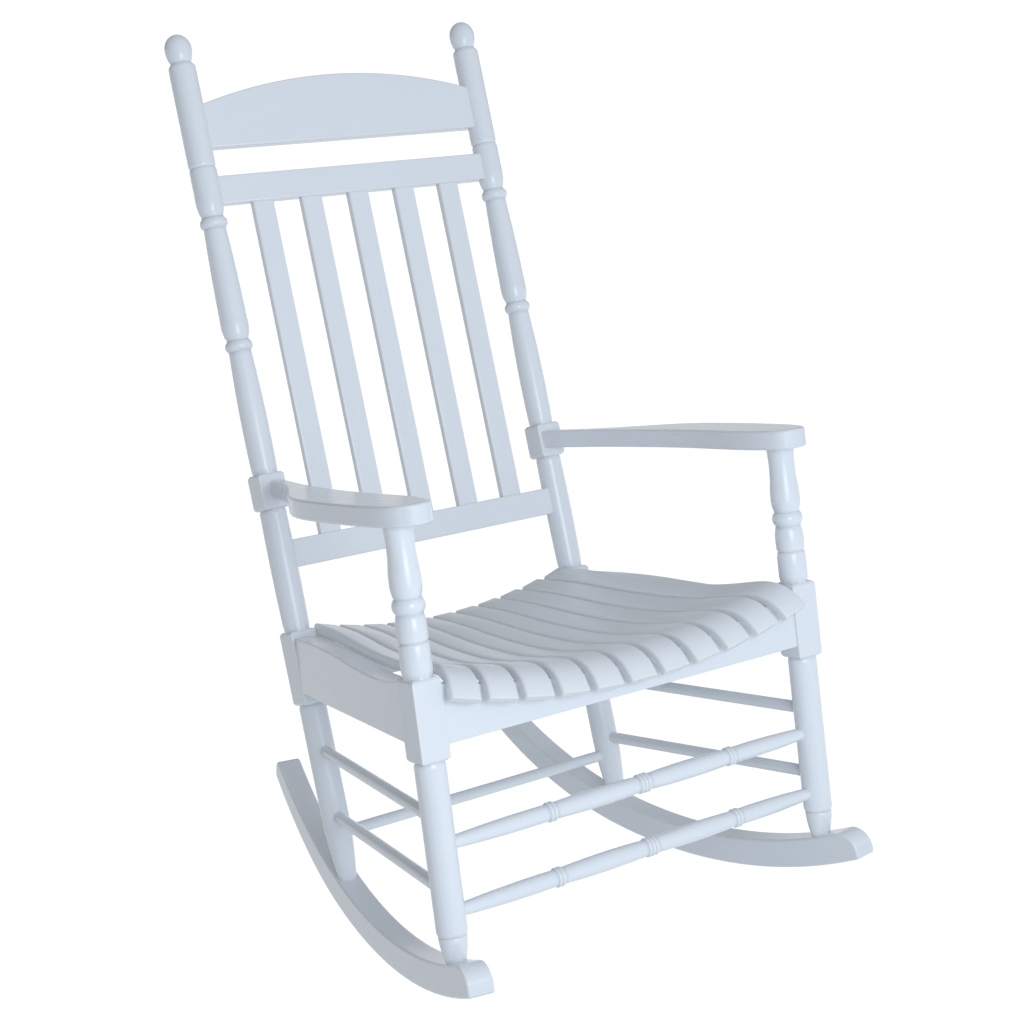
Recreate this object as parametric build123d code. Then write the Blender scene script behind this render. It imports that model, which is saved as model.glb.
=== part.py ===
from build123d import *
import math
import os

# Rocking chair, painted wood. Millimetres, +Z up, the sitter faces -Y, +X is across the chair.
# "left" is the -X side and "right" is the +X side.
# The chair stands on its two rockers, tilted back the way it rests on a level floor.

os.makedirs("parts", exist_ok=True)

# ---- turned stock and overall stance ----
stock_d = 38.0              # turned diameter of posts and legs
block_w = 39.0              # square blocks left on the posts and legs
block_chamfer = 3.0
post_half_spread = 229.5    # back post axis to the middle of the chair
leg_half_spread = 287.5     # front leg axis to the middle of the chair
overall_height = 1143.0
post_tip_y = 437.0
post_lean = 21.55            # degrees the back posts lean back
post_length = 1190.0
leg_top_y = -263.8
leg_top_z = 637.2
leg_lean = 13.1             # degrees the front legs lean back
leg_length = 526.0

# ---- joints ----
foot_tenon_d = 20.0
foot_tenon = 24.0           # foot tenon standing in the rocker
arm_tenon_d = 22.0
arm_tenon = 17.0            # front leg tenon standing in the arm
rail_tenon = 13.0           # rails standing in the posts and legs
rung_tenon = 13.0           # rungs standing in the posts and legs
slat_tenon = 12.0           # back slats standing in their rails
arm_end_tenon = 13.0        # arm tenon standing in the back post block
arm_tenon_w = 13.0          # its width and thickness, inside the shoulders of the arm
arm_tenon_t = 17.0

# ---- back post stations, measured down from the tip ----
ball_d = 37.5
ball_widest = 21.0
ball_end = 40.5             # crease between the ball and the post
crease_d = 28.0
finial_shoulder = 50.0
top_groove = 188.0
groove_w = 4.4
groove_depth = 2.0
shoulder_1 = 229.0
neck_1_start = 251.0
neck_1_d = 33.5
bead_1_start = 258.0
bead_w = 14.5
bead_d = 38.6
bead_neck_d = 31.0
vase_1_widest = 400.0
neck_2_start = 423.5
neck_2_d = 34.5
bead_2_start = 430.5
arm_block_start = 617.5
arm_block_end = 667.5
pad_d = 34.5                # turned ends next to the square blocks
pad_len = 8.0
seat_block_start = 838.0
seat_block_end = 940.5
foot_taper_start = 1098.0
foot_d = 23.0

# ---- front leg stations, measured down from the underside of the arm ----
leg_waist = 21.0
leg_waist_d = 34.5
leg_vase_widest = 62.0
leg_neck_start = 78.0
leg_neck_d = 34.5
leg_bead_start = 81.0
leg_bead_w = 18.0
leg_bead_d = 40.0
leg_bead_neck_d = 33.0
leg_swell = 120.0
leg_groove = 133.3
leg_block_start = 175.5
leg_block_end = 276.0
leg_low_groove = 488.3
leg_low_band_end = 495.0

# ---- ladder of the back, stations measured down from the post tip ----
back_rail_t = 20.0
crest_peak = 68.5
crest_end = 101.0
crest_bottom = 162.0
upper_rail_top = 201.5
upper_rail_bottom = 241.0
lower_rail_top = 713.5
lower_rail_bottom = 752.5
back_slat_count = 5
back_slat_pitch = 75.5
back_slat_w = 32.0
back_slat_t = 12.0

# ---- seat ----
seat_slat_count = 11
slat_t = 13.0
slat_edge_r = 3.5
slat_gap_front = 9.0
slat_gap_back = 4.5
slat_front_y = -345.0
slat_back_y = 124.0
slat_pitch_front = 48.4
slat_pitch_back = 37.8
nose_forward = 10.0         # the middle slats stand this much further forward
dish_front = 38.5           # the middle of the seat is lower than its sides
dish_back = 36.0
dish_half_width = 250.0
# height of the slat's upper face at the sides of the seat, from back to front
seat_back_z = 376.0
seat_rear_y = 40.0
seat_rear_z = 395.0
seat_low_y = -50.0
seat_low_z = 410.0
seat_mid_y = -140.0
seat_mid_z = 428.0
seat_rise_y = -215.0
seat_rise_z = 448.5
seat_brow_y = -273.0
seat_brow_z = 470.0
seat_crest_y = -308.0
seat_crest_z = 478.0
nose_bend_y = -335.0
nose_bend_z = 472.0
nose_tip_y = -353.0
nose_tip_z = 458.0
front_rail_t = 22.0
front_rail_face = 16.0      # front face of the rail ahead of the leg axis
front_rail_top = 182.0      # leg station of the upper edge at the legs
front_rail_bottom = 258.5   # leg station of the lower edge
back_rail_low = 926.0       # post station of the lower edge of the seat's back rail
back_rail_top = 840.0       # post station of the upper edge at the posts
back_rail_ahead = 2.0       # middle of the back rail ahead of the post axes
side_rail_t = 30.0
side_rail_top_front = 465.0
side_rail_top_back = 364.0
side_rail_bottom_front = 383.5
side_rail_bottom_back = 285.5

# ---- arms ----
arm_t = 25.2
arm_rise = 5.3              # underside of the arm above the datum of the leg
arm_slope = 12.85            # degrees the arms fall towards the back
arm_edge_r = 3.0

# ---- rungs ----
rung_d = 16.0
front_rung_mid_d = 24.0
front_rung_ring_d = 25.0
rung_ring_w = 5.5
rung_group_spread = 140.0   # outer ring groups to the middle one
rung_group_shift = 8.0      # the groups stand this much towards the right leg
front_rung_upper = 379.6    # front leg stations
front_rung_lower = 462.5
side_rung_upper_leg = 348.5
side_rung_lower_leg = 436.8
side_rung_upper_post = 1005.0
side_rung_lower_post = 1097.5
back_rung_post = 1124.3

# ---- rockers ----
rocker_w = 34.0
rocker_h = 39.0
rocker_r_front = 832.0      # radius of the lower face ahead of its lowest point
rocker_r_back = 600.0       # and behind it
rocker_top_r_back = 635.0   # radius of the upper face behind it: the runner thins to the back
rocker_low_y = -17.0        # lowest point, under the centre of mass
rocker_front_y = -460.0
rocker_back_y = 276.0
rocker_nose_lean = 14.0     # the toe's end face leans back by this much
rocker_nose_r = 26.0
rocker_heel_lean = 6.0
rocker_heel_r = 11.0
rocker_tip_r = 3.5
rocker_edge_r = 3.0


def cos_d(angle):
    return math.cos(math.radians(angle))


def sin_d(angle):
    return math.sin(math.radians(angle))


def post_point(side, station):
    """Point on a back post axis at a station below its tip."""
    y = post_tip_y - station * sin_d(post_lean)
    z = overall_height - station * cos_d(post_lean)
    return Vector(side * post_half_spread, y, z)


def leg_point(side, station):
    """Point on a front leg axis at a station below the arm."""
    y = leg_top_y - station * sin_d(leg_lean)
    z = leg_top_z - station * cos_d(leg_lean)
    return Vector(side * leg_half_spread, y, z)


def back_frame(x=0.0):
    """Frame of the leaning back: local Z runs up the posts, local Y points behind them."""
    return Location((x, post_tip_y, overall_height), (-post_lean, 0, 0))


def leg_frame(x=0.0):
    """Frame of the leaning front legs, with its origin under the arm."""
    return Location((x, leg_top_y, leg_top_z), (-leg_lean, 0, 0))


# ---------------------------------------------------------------- lathe work
def lathe(edges):
    """Revolve a half profile, given in the XZ plane, about Z."""
    wire = Wire(edges)
    first = wire @ 0
    last = wire @ 1
    close_top = Line(first, (0, 0, first.Z))
    close_axis = Line((0, 0, first.Z), (0, 0, last.Z))
    close_low = Line((0, 0, last.Z), last)
    outline = Wire([*edges, close_top.edge(), close_axis.edge(), close_low.edge()])
    return revolve(make_face(outline), axis=Axis.Z)


def straight(s0, d0, s1, d1):
    """Straight or tapered run between two stations."""
    return Line((d0 / 2, 0, -s0), (d1 / 2, 0, -s1)).edge()


def swell(s0, d0, s1, d1, rise):
    """Bowed run between two stations; rise lifts its middle off the straight line."""
    middle = ((d0 + d1) / 4 + rise, 0, -(s0 + s1) / 2)
    return ThreePointArc((d0 / 2, 0, -s0), middle, (d1 / 2, 0, -s1)).edge()


def groove(s0, d):
    """Narrow V groove centred on a station."""
    half = groove_w / 2
    cut_in = straight(s0 - half, d, s0, d - 2 * groove_depth)
    cut_out = straight(s0, d - 2 * groove_depth, s0 + half, d)
    return [cut_in, cut_out]


def bead(s0, width, neck, crown):
    """Round ring standing on a neck."""
    return [swell(s0, neck, s0 + width, neck, (crown - neck) / 2)]


def square_block(s0, s1):
    """Square block with chamfered ends, left on the turning."""
    height = s1 - s0
    body = Pos(0, 0, -(s0 + s1) / 2) * Box(block_w, block_w, height)
    ends = body.faces().sort_by(Axis.Z)
    rims = ends[0].edges() + ends[-1].edges()
    body = chamfer(rims, block_chamfer)
    return fillet(body.edges().filter_by(Axis.Z), 1.2)


def post_blank():
    """Turned back post with its tip at the origin, before the mortises."""
    vase_end = neck_2_start
    bead_1_end = bead_1_start + bead_w
    bead_2_end = bead_2_start + bead_w
    half = groove_w / 2
    edges = []
    tip = (0.01, 0, 0)
    widest = (ball_d / 2, 0, -ball_widest)
    crease = (crease_d / 2, 0, -ball_end)
    edges.append(ThreePointArc(tip, (ball_d * 0.345, 0, -5.6), widest).edge())
    edges.append(ThreePointArc(widest, (ball_d * 0.474, 0, -31.5), crease).edge())
    edges.append(swell(ball_end, crease_d, finial_shoulder, stock_d - 0.5, 1.7))
    edges.append(straight(finial_shoulder, stock_d - 0.5, finial_shoulder + 6, stock_d))
    edges.append(straight(finial_shoulder + 6, stock_d, top_groove - half, stock_d))
    edges += groove(top_groove, stock_d)
    edges.append(straight(top_groove + half, stock_d, shoulder_1, stock_d))
    edges.append(swell(shoulder_1, stock_d, neck_1_start, neck_1_d, 0.9))
    edges.append(swell(neck_1_start, neck_1_d, bead_1_start, bead_neck_d, -0.8))
    edges += bead(bead_1_start, bead_w, bead_neck_d, bead_d)
    edges.append(swell(bead_1_end, bead_neck_d, vase_1_widest, stock_d, 0.7))
    edges.append(swell(vase_1_widest, stock_d, vase_end, neck_2_d, 1.0))
    edges.append(swell(vase_end, neck_2_d, bead_2_start, bead_neck_d, -0.8))
    edges += bead(bead_2_start, bead_w, bead_neck_d, bead_d)
    edges.append(swell(bead_2_end, bead_neck_d, arm_block_start - pad_len, stock_d - 2, 1.6))
    edges.append(swell(arm_block_start - pad_len, stock_d - 2, arm_block_start, pad_d, 0.4))
    edges.append(straight(arm_block_start, pad_d, arm_block_end, pad_d))
    edges.append(swell(arm_block_end, pad_d, arm_block_end + pad_len, stock_d - 1, 0.8))
    edges.append(swell(arm_block_end + pad_len, stock_d - 1, seat_block_start - pad_len, stock_d - 1.5, 0.8))
    edges.append(swell(seat_block_start - pad_len, stock_d - 1.5, seat_block_start, pad_d, 0.4))
    edges.append(straight(seat_block_start, pad_d, seat_block_end, pad_d))
    edges.append(swell(seat_block_end, pad_d, seat_block_end + pad_len, stock_d, 0.8))
    edges.append(straight(seat_block_end + pad_len, stock_d, foot_taper_start, stock_d))
    edges.append(swell(foot_taper_start, stock_d, post_length, foot_d, 1.8))
    edges.append(straight(post_length, foot_d, post_length + 1.0, foot_tenon_d))
    tenon_end = post_length + foot_tenon
    edges.append(straight(post_length + 1.0, foot_tenon_d, tenon_end, foot_tenon_d))
    turned = lathe(edges)
    turned += square_block(arm_block_start, arm_block_end)
    turned += square_block(seat_block_start, seat_block_end)
    return turned


def leg_blank():
    """Turned front leg with its origin under the arm, before the mortises."""
    half = groove_w / 2
    bead_end = leg_bead_start + leg_bead_w
    edges = []
    top = -arm_rise
    edges.append(straight(top - arm_tenon, arm_tenon_d, top, arm_tenon_d))
    edges.append(straight(top, arm_tenon_d, top + 0.2, stock_d - 1))
    edges.append(swell(top + 0.2, stock_d - 1, leg_waist * 2, stock_d - 2, -1.2))
    edges.append(swell(leg_waist * 2, stock_d - 2, leg_vase_widest, stock_d + 0.5, 0.5))
    edges.append(swell(leg_vase_widest, stock_d + 0.5, leg_neck_start, leg_neck_d, 0.8))
    edges.append(straight(leg_neck_start, leg_neck_d, leg_bead_start, leg_bead_neck_d))
    edges += bead(leg_bead_start, leg_bead_w, leg_bead_neck_d, leg_bead_d)
    edges.append(swell(bead_end, leg_bead_neck_d, leg_swell, stock_d, 0.6))
    edges.append(straight(leg_swell, stock_d, leg_groove - half, stock_d - 1))
    edges += groove(leg_groove, stock_d - 1)
    edges.append(straight(leg_groove + half, stock_d - 1, leg_groove + 8, stock_d))
    edges.append(straight(leg_groove + 8, stock_d, leg_block_start - pad_len, stock_d))
    edges.append(swell(leg_block_start - pad_len, stock_d, leg_block_start, pad_d, 0.4))
    edges.append(straight(leg_block_start, pad_d, leg_block_end, pad_d))
    edges.append(swell(leg_block_end, pad_d, leg_block_end + pad_len, stock_d, 0.8))
    band_d = stock_d - 2.8
    edges.append(straight(leg_block_end + pad_len, stock_d, leg_low_groove - 7, stock_d))
    edges.append(swell(leg_low_groove - 7, stock_d, leg_low_groove - 1.3, band_d + 0.4, 0.4))
    edges.append(straight(leg_low_groove - 1.3, band_d + 0.4, leg_low_groove, band_d - 1.8))
    edges.append(straight(leg_low_groove, band_d - 1.8, leg_low_groove + 1.3, band_d))
    edges.append(straight(leg_low_groove + 1.3, band_d, leg_low_band_end, band_d - 0.4))
    edges.append(swell(leg_low_band_end, band_d - 0.4, leg_length, foot_d, 0.5))
    edges.append(straight(leg_length, foot_d, leg_length + 1.0, foot_tenon_d))
    edges.append(straight(leg_length + 1.0, foot_tenon_d, leg_length + foot_tenon, foot_tenon_d))
    turned = lathe(edges)
    return turned + square_block(leg_block_start, leg_block_end)


# ---------------------------------------------------------------- the back
def back_board(top, bottom, thickness):
    """Straight rail of the back, its ends standing in the posts."""
    reach = post_half_spread - stock_d / 2 + rail_tenon
    board = Pos(0, 0, -(top + bottom) / 2) * Box(2 * reach, thickness, bottom - top)
    return fillet(board.edges().filter_by(Axis.X), 2.5)


def crest_board():
    """Crest rail with an arched upper edge."""
    reach = post_half_spread - stock_d / 2 + rail_tenon
    with BuildSketch(Plane.XZ) as outline:
        with BuildLine():
            ThreePointArc((-reach, -crest_end - 2), (0, -crest_peak), (reach, -crest_end - 2))
            Polyline((reach, -crest_end - 2), (reach, -crest_bottom), (-reach, -crest_bottom),
                     (-reach, -crest_end - 2))
        make_face()
    board = extrude(outline.sketch, back_rail_t / 2, both=True)
    long_edges = board.edges().filter_by(lambda e: e.length > reach)
    return fillet(long_edges, 2.5)


def back_slat(x):
    """Flat upright slat, its ends standing in the upper and lower rails."""
    top = upper_rail_bottom - slat_tenon
    bottom = lower_rail_top + slat_tenon
    slat = Pos(x, 0, -(top + bottom) / 2) * Box(back_slat_w, back_slat_t, bottom - top)
    return fillet(slat.edges().filter_by(Axis.Z), 2.5)


# ---------------------------------------------------------------- the seat
def seat_curve():
    """Upper face of a slat in side view, from the back end to the nose tip."""
    return Spline(
        (0, slat_back_y, seat_back_z),
        (0, seat_rear_y, seat_rear_z),
        (0, seat_low_y, seat_low_z),
        (0, seat_mid_y, seat_mid_z),
        (0, seat_rise_y, seat_rise_z),
        (0, seat_brow_y, seat_brow_z),
        (0, seat_crest_y, seat_crest_z),
        (0, nose_bend_y, nose_bend_z),
        (0, nose_tip_y, nose_tip_z),
    )


def slat_profile(dish):
    """Side view of a slat. The dish factor is 0 at the sides and 1 in the middle."""
    upper = []
    lower = []
    curve = seat_curve()
    steps = 24
    for i in range(steps + 1):
        along = i / steps
        point = curve @ along
        slope = curve % along
        run = (slat_back_y - point.Y) / (slat_back_y - slat_front_y)
        drop = dish * (dish_back + (dish_front - dish_back) * run)
        y = point.Y - dish * nose_forward * run
        z = point.Z - drop
        upper.append(Vector(0, y, z))
        lower.append(Vector(0, y - slope.Z * slat_t, z + slope.Y * slat_t))
    top_edge = Spline(*upper).edge()
    low_edge = Spline(*lower).edge()
    back_end = Line(upper[0], lower[0]).edge()
    nose_end = Line(upper[-1], lower[-1]).edge()
    return make_face(Wire([top_edge, nose_end, low_edge, back_end]))


def seat_slat(index):
    """Curved seat slat, narrower at the back, leaning to follow the dish of the seat."""
    order = index - (seat_slat_count - 1) / 2
    x_front = order * slat_pitch_front
    x_back = order * slat_pitch_back
    x_mid = (x_front + x_back) / 2
    share = 1 - (x_mid / dish_half_width) ** 2
    board = extrude(slat_profile(share), slat_pitch_front, both=True)
    half_front = (slat_pitch_front - slat_gap_front) / 2
    half_back = (slat_pitch_back - slat_gap_back) / 2
    fan = math.degrees(math.atan2(x_front - x_back, slat_back_y - slat_front_y))
    dish_mid = (dish_front + dish_back) / 2
    lean = math.degrees(math.atan(2 * dish_mid * x_mid / dish_half_width ** 2))
    reach = 30.0
    plan = Polygon(
        (-half_front, slat_front_y - reach),
        (half_front, slat_front_y - reach),
        (half_back, slat_back_y + reach),
        (-half_back, slat_back_y + reach),
        align=None,
    )
    column = Pos(0, 0, 200) * extrude(plan, 400)
    board = board & column
    corners = board.edges().filter_by(lambda e: e.length > 300)
    upper = corners.sort_by(Axis.Z)[-2:]
    board = fillet(upper, slat_edge_r)
    rise = (seat_crest_z - seat_back_z) / (slat_back_y - seat_crest_y)
    chord_z = seat_back_z + rise * (slat_back_y - seat_mid_y) - share * dish_mid
    chord = Axis((0, seat_mid_y, chord_z), (0, -1, rise))
    board = board.rotate(chord, lean)
    turn = Location((0, seat_mid_y, 0)) * Location((0, 0, 0), (0, 0, fan)) * Location((0, -seat_mid_y, 0))
    run_mid = (slat_back_y - seat_mid_y) / (slat_back_y - slat_front_y)
    x_pivot = x_back + (x_front - x_back) * run_mid
    return Pos(x_pivot, 0, 0) * turn * board


def seat_front_board():
    """Front rail of the seat: straight below, hollowed above to carry the dished slats."""
    reach = leg_half_spread - block_w / 2 + rail_tenon
    side_top = front_rail_top
    middle_top = side_top + dish_front
    with BuildSketch(Plane.XZ) as outline:
        with BuildLine():
            ThreePointArc((-reach, -side_top), (0, -middle_top), (reach, -side_top))
            Polyline((reach, -side_top), (reach, -front_rail_bottom), (-reach, -front_rail_bottom),
                     (-reach, -side_top))
        make_face()
    board = extrude(outline.sketch, front_rail_t / 2, both=True)
    board = Pos(0, -front_rail_face + front_rail_t / 2, 0) * board
    return leg_frame() * board


def seat_back_board():
    """Back rail of the seat, under the back ends of the slats."""
    reach = post_half_spread - block_w / 2 + rail_tenon
    side_top = back_rail_top
    middle_top = side_top + dish_back
    with BuildSketch(Plane.XZ) as outline:
        with BuildLine():
            ThreePointArc((-reach, -side_top), (0, -middle_top), (reach, -side_top))
            Polyline((reach, -side_top), (reach, -back_rail_low), (-reach, -back_rail_low),
                     (-reach, -side_top))
        make_face()
    board = extrude(outline.sketch, front_rail_t / 2, both=True)
    return back_frame() * Pos(0, -back_rail_ahead, 0) * board


def seat_side_board(side):
    """Side rail of the seat: thick board with a scooped upper edge."""
    front = Vector(leg_half_spread, leg_point(1, leg_block_start + 50).Y, 0)
    back = Vector(post_half_spread, post_point(1, seat_block_start + 50).Y, 0)
    turn = math.degrees(math.atan2(front.X - back.X, back.Y - front.Y))
    y0 = front.Y + block_w / 2 - rail_tenon
    y1 = back.Y - block_w / 2 + rail_tenon
    span = y1 - y0
    with BuildSketch(Plane.YZ) as outline:
        with BuildLine():
            Spline((y0, side_rail_top_front), (y0 + 0.18 * span, 436.0), (y0 + 0.40 * span, 413.5),
                   (y0 + 0.60 * span, 400.0), (y0 + 0.80 * span, 384.0), (y1, side_rail_top_back))
            Polyline((y1, side_rail_top_back), (y1, side_rail_bottom_back), (y0, side_rail_bottom_front),
                     (y0, side_rail_top_front))
        make_face()
    board = extrude(outline.sketch, side_rail_t / 2, both=True)
    pivot = Location((front.X, front.Y, 0))
    placed = pivot * Location((0, 0, 0), (0, 0, turn)) * Pos(0, -front.Y, 0) * board
    return placed if side > 0 else placed.mirror(Plane.YZ)


# ---------------------------------------------------------------- arms and rockers
def arm_blank(v_back):
    """Arm board in its own plane, long enough to reach the middle of the post block."""
    with BuildSketch() as plan:
        with BuildLine():
            Spline((231, v_back), (232, v_back - 16), (241, 412), (256, 360), (278, 308), (299, 264),
                   (314, 222), (321, 165), (322, 100), (319, 35), (312, -14), (299, -39), (283, -46),
                   (264, -40), (252, -14), (247, 35), (249, 110), (249, 190), (244, 260), (236, 335),
                   (225, 400), (213, v_back - 24), (211, v_back))
            Line((211, v_back), (231, v_back))
        make_face()
    board = extrude(plan.sketch, arm_t)
    faces = board.faces().sort_by(Axis.Z)
    rims = faces[0].edges() + faces[-1].edges()
    return fillet([e for e in rims if e.length > 60], arm_edge_r)


def arm_board(side):
    """Arm: shouldered and tenoned into the post, wide and rounded over the front leg."""
    middle = (arm_block_start + arm_block_end) / 2
    v_back = (post_point(1, middle).Y - leg_top_y) / cos_d(arm_slope)
    lie = Location((0, leg_top_y, leg_top_z), (-arm_slope, 0, 0)) * Pos(0, 0, arm_rise)
    body_of_post = back_frame(post_half_spread) * Pos(0, 0, -middle) * Box(block_w, block_w, 4 * block_w)
    shouldered = lie * arm_blank(v_back) - body_of_post
    tenon_x = (211 + 231) / 2
    tenon_v = v_back - block_w / 2 + arm_end_tenon / 2 - 6
    tenon = Pos(tenon_x, tenon_v, arm_t / 2) * Box(arm_tenon_w, arm_end_tenon + 12, arm_tenon_t)
    placed = shouldered + lie * tenon
    return placed if side > 0 else placed.mirror(Plane.YZ)


def arc_height(y, rise):
    """Height of the rocker's bend at y: rise 0 is its lower face, rocker_h its upper face."""
    ahead = y < rocker_low_y
    if rise > 0:
        radius = rocker_r_front - rise if ahead else rocker_top_r_back
    else:
        radius = rocker_r_front if ahead else rocker_r_back
    return rise + radius - math.sqrt(radius ** 2 - (y - rocker_low_y) ** 2)


def rocker_board(side):
    """Rocker: bent runner, toed in towards the back, rounded over at both ends."""
    front = leg_point(1, leg_length)
    back = post_point(1, post_length)
    turn = math.degrees(math.atan2(front.X - back.X, back.Y - front.Y))
    y0 = rocker_front_y
    y1 = rocker_back_y
    y0_top = y0 + rocker_nose_lean
    y1_top = y1 - rocker_heel_lean
    front_tip = (y0, arc_height(y0, 0))
    front_top = (y0_top, arc_height(y0_top, rocker_h))
    back_tip = (y1, arc_height(y1, 0))
    back_top = (y1_top, arc_height(y1_top, rocker_h))
    low = (rocker_low_y, 0)
    high = (rocker_low_y, rocker_h)
    front_half = (y0 + rocker_low_y) / 2
    back_half = (y1 + rocker_low_y) / 2
    with BuildSketch(Plane.YZ) as outline:
        with BuildLine():
            ThreePointArc(front_tip, (front_half, arc_height(front_half, 0)), low)
            ThreePointArc(low, (back_half, arc_height(back_half, 0)), back_tip)
            Line(back_tip, back_top)
            ThreePointArc(back_top, (back_half, arc_height(back_half, rocker_h)), high)
            ThreePointArc(high, (front_half, arc_height(front_half, rocker_h)), front_top)
            Line(front_top, front_tip)
        make_face()
        fillet(outline.vertices().sort_by(Axis.X)[1], rocker_nose_r)
        fillet(outline.vertices().sort_by(Axis.X)[-2], rocker_heel_r)
        tips = outline.vertices().sort_by(Axis.X)
        fillet([tips[0], tips[-1]], rocker_tip_r)
    board = extrude(outline.sketch, rocker_w / 2, both=True)
    sides_of_board = board.faces().filter_by(Axis.X)
    board = fillet(sides_of_board[0].edges() + sides_of_board[-1].edges(), rocker_edge_r)
    placed = Location((front.X, front.Y, 0), (0, 0, turn)) * Pos(0, -front.Y, 0) * board
    return placed if side > 0 else placed.mirror(Plane.YZ)


# ---------------------------------------------------------------- rungs
def along(start, end, body):
    """Stand a body, made along +Z from the origin, between two points."""
    direction = (end - start).normalized()
    return Plane(origin=start, z_dir=direction).location * body


def shortened(start, end, cut):
    """Pull both ends of a segment in by a length."""
    direction = (end - start).normalized()
    return start + direction * cut, end - direction * cut


def plain_rung(start, end):
    """Plain dowel rung."""
    a, b = shortened(start, end, stock_d / 2 - rung_tenon)
    length = (b - a).length
    return along(a, b, Pos(0, 0, length / 2) * Cylinder(rung_d / 2, length))


def turned_rung(start, end):
    """Turned rung: slim ends, fuller middle, and three groups of rings."""
    a, b = shortened(start, end, stock_d / 2 - rung_tenon)
    length = (b - a).length
    half = length / 2 + rung_group_shift
    ring = rung_ring_w
    outer_group = rung_group_spread
    edges = []
    s = rail_tenon
    slim = rung_d
    full = front_rung_mid_d
    edges.append(straight(0, slim, s, slim))
    left_in = half - outer_group - ring
    edges.append(swell(s, slim, left_in, full - 3, 1.2))
    edges += bead(left_in, ring, full - 3, front_rung_ring_d)
    edges += bead(left_in + ring, ring, full - 3, front_rung_ring_d)
    mid_in = half - 1.5 * ring
    edges.append(swell(left_in + 2 * ring, full - 3, mid_in, full - 3, 1.5))
    for k in range(3):
        edges += bead(mid_in + k * ring, ring, full - 3, front_rung_ring_d)
    right_in = half + outer_group - ring
    edges.append(swell(mid_in + 3 * ring, full - 3, right_in, full - 3, 1.5))
    edges += bead(right_in, ring, full - 3, front_rung_ring_d)
    edges += bead(right_in + ring, ring, full - 3, front_rung_ring_d)
    edges.append(swell(right_in + 2 * ring, full - 3, length - s, slim, 1.2))
    edges.append(straight(length - s, slim, length, slim))
    return along(b, a, Pos(0, 0, length) * lathe(edges))


# ---------------------------------------------------------------- assembly
nodes = {}

sides = {"left": -1, "right": 1}

nodes["crest_rail"] = back_frame() * crest_board()
nodes["upper_back_rail"] = back_frame() * back_board(upper_rail_top, upper_rail_bottom, back_rail_t)
nodes["lower_back_rail"] = back_frame() * back_board(lower_rail_top, lower_rail_bottom, back_rail_t)

for i in range(back_slat_count):
    x = (i - (back_slat_count - 1) / 2) * back_slat_pitch
    nodes[f"back_slat_{i + 1}"] = back_frame() * back_slat(x)

nodes["seat_front_rail"] = seat_front_board()
nodes["seat_back_rail"] = seat_back_board()
for i in range(seat_slat_count):
    nodes[f"seat_slat_{i + 1:02d}"] = seat_slat(i)

nodes["front_rung_upper"] = turned_rung(leg_point(-1, front_rung_upper), leg_point(1, front_rung_upper))
nodes["front_rung_lower"] = turned_rung(leg_point(-1, front_rung_lower), leg_point(1, front_rung_lower))
nodes["back_rung"] = plain_rung(post_point(-1, back_rung_post), post_point(1, back_rung_post))

for name, side in sides.items():
    nodes[f"{name}_back_post"] = back_frame(side * post_half_spread) * post_blank()
    nodes[f"{name}_front_leg"] = leg_frame(side * leg_half_spread) * leg_blank()
    nodes[f"{name}_arm"] = arm_board(side)
    nodes[f"{name}_rocker"] = rocker_board(side)
    nodes[f"{name}_seat_rail"] = seat_side_board(side)
    leg_upper = leg_point(side, side_rung_upper_leg)
    leg_lower = leg_point(side, side_rung_lower_leg)
    nodes[f"{name}_rung_upper"] = plain_rung(leg_upper, post_point(side, side_rung_upper_post))
    nodes[f"{name}_rung_lower"] = plain_rung(leg_lower, post_point(side, side_rung_lower_post))


def cut(target, *tools):
    """Cut housings and mortises for other pieces into one piece."""
    for tool in tools:
        nodes[target] = nodes[target] - nodes[tool]


# mortises for the back slats
for i in range(back_slat_count):
    cut("upper_back_rail", f"back_slat_{i + 1}")
    cut("lower_back_rail", f"back_slat_{i + 1}")

# shallow housings for the seat slats on the rails
for i in range(seat_slat_count):
    cut("seat_front_rail", f"seat_slat_{i + 1:02d}")
    cut("seat_back_rail", f"seat_slat_{i + 1:02d}")

# the side rails are notched round the ends of the front and back rails
for name, outer_slat in (("left", "seat_slat_01"), ("right", f"seat_slat_{seat_slat_count}")):
    cut(f"{name}_seat_rail", "seat_front_rail", "seat_back_rail", outer_slat)

for name in sides:
    post = f"{name}_back_post"
    leg = f"{name}_front_leg"
    cut(post, "crest_rail", "upper_back_rail", "lower_back_rail", "seat_back_rail", "back_rung")
    cut(post, f"{name}_seat_rail", f"{name}_rung_upper", f"{name}_rung_lower", f"{name}_arm")
    cut(leg, "seat_front_rail", "front_rung_upper", "front_rung_lower")
    cut(leg, f"{name}_seat_rail", f"{name}_rung_upper", f"{name}_rung_lower")
    cut(f"{name}_arm", leg)
    cut(f"{name}_rocker", leg, post)

for name, shape in nodes.items():
    export_step(shape, f"parts/{name}.step")
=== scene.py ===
"""High-backed rocking chair of painted wood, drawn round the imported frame.

Every piece of wood is one closed skin, made in mesh code and finished in enamel. Sizes in the
classes are millimetres and degrees, as on a maker's drawing. +Z is up, the sitter faces -Y, and
"left" is the -X side. "Station" is a distance down a post or leg from its upper end.
"""

import logging
import math
from dataclasses import dataclass, field
from enum import Enum

import bmesh
import bpy
import numpy as np
from mathutils import Matrix, Vector


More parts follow.
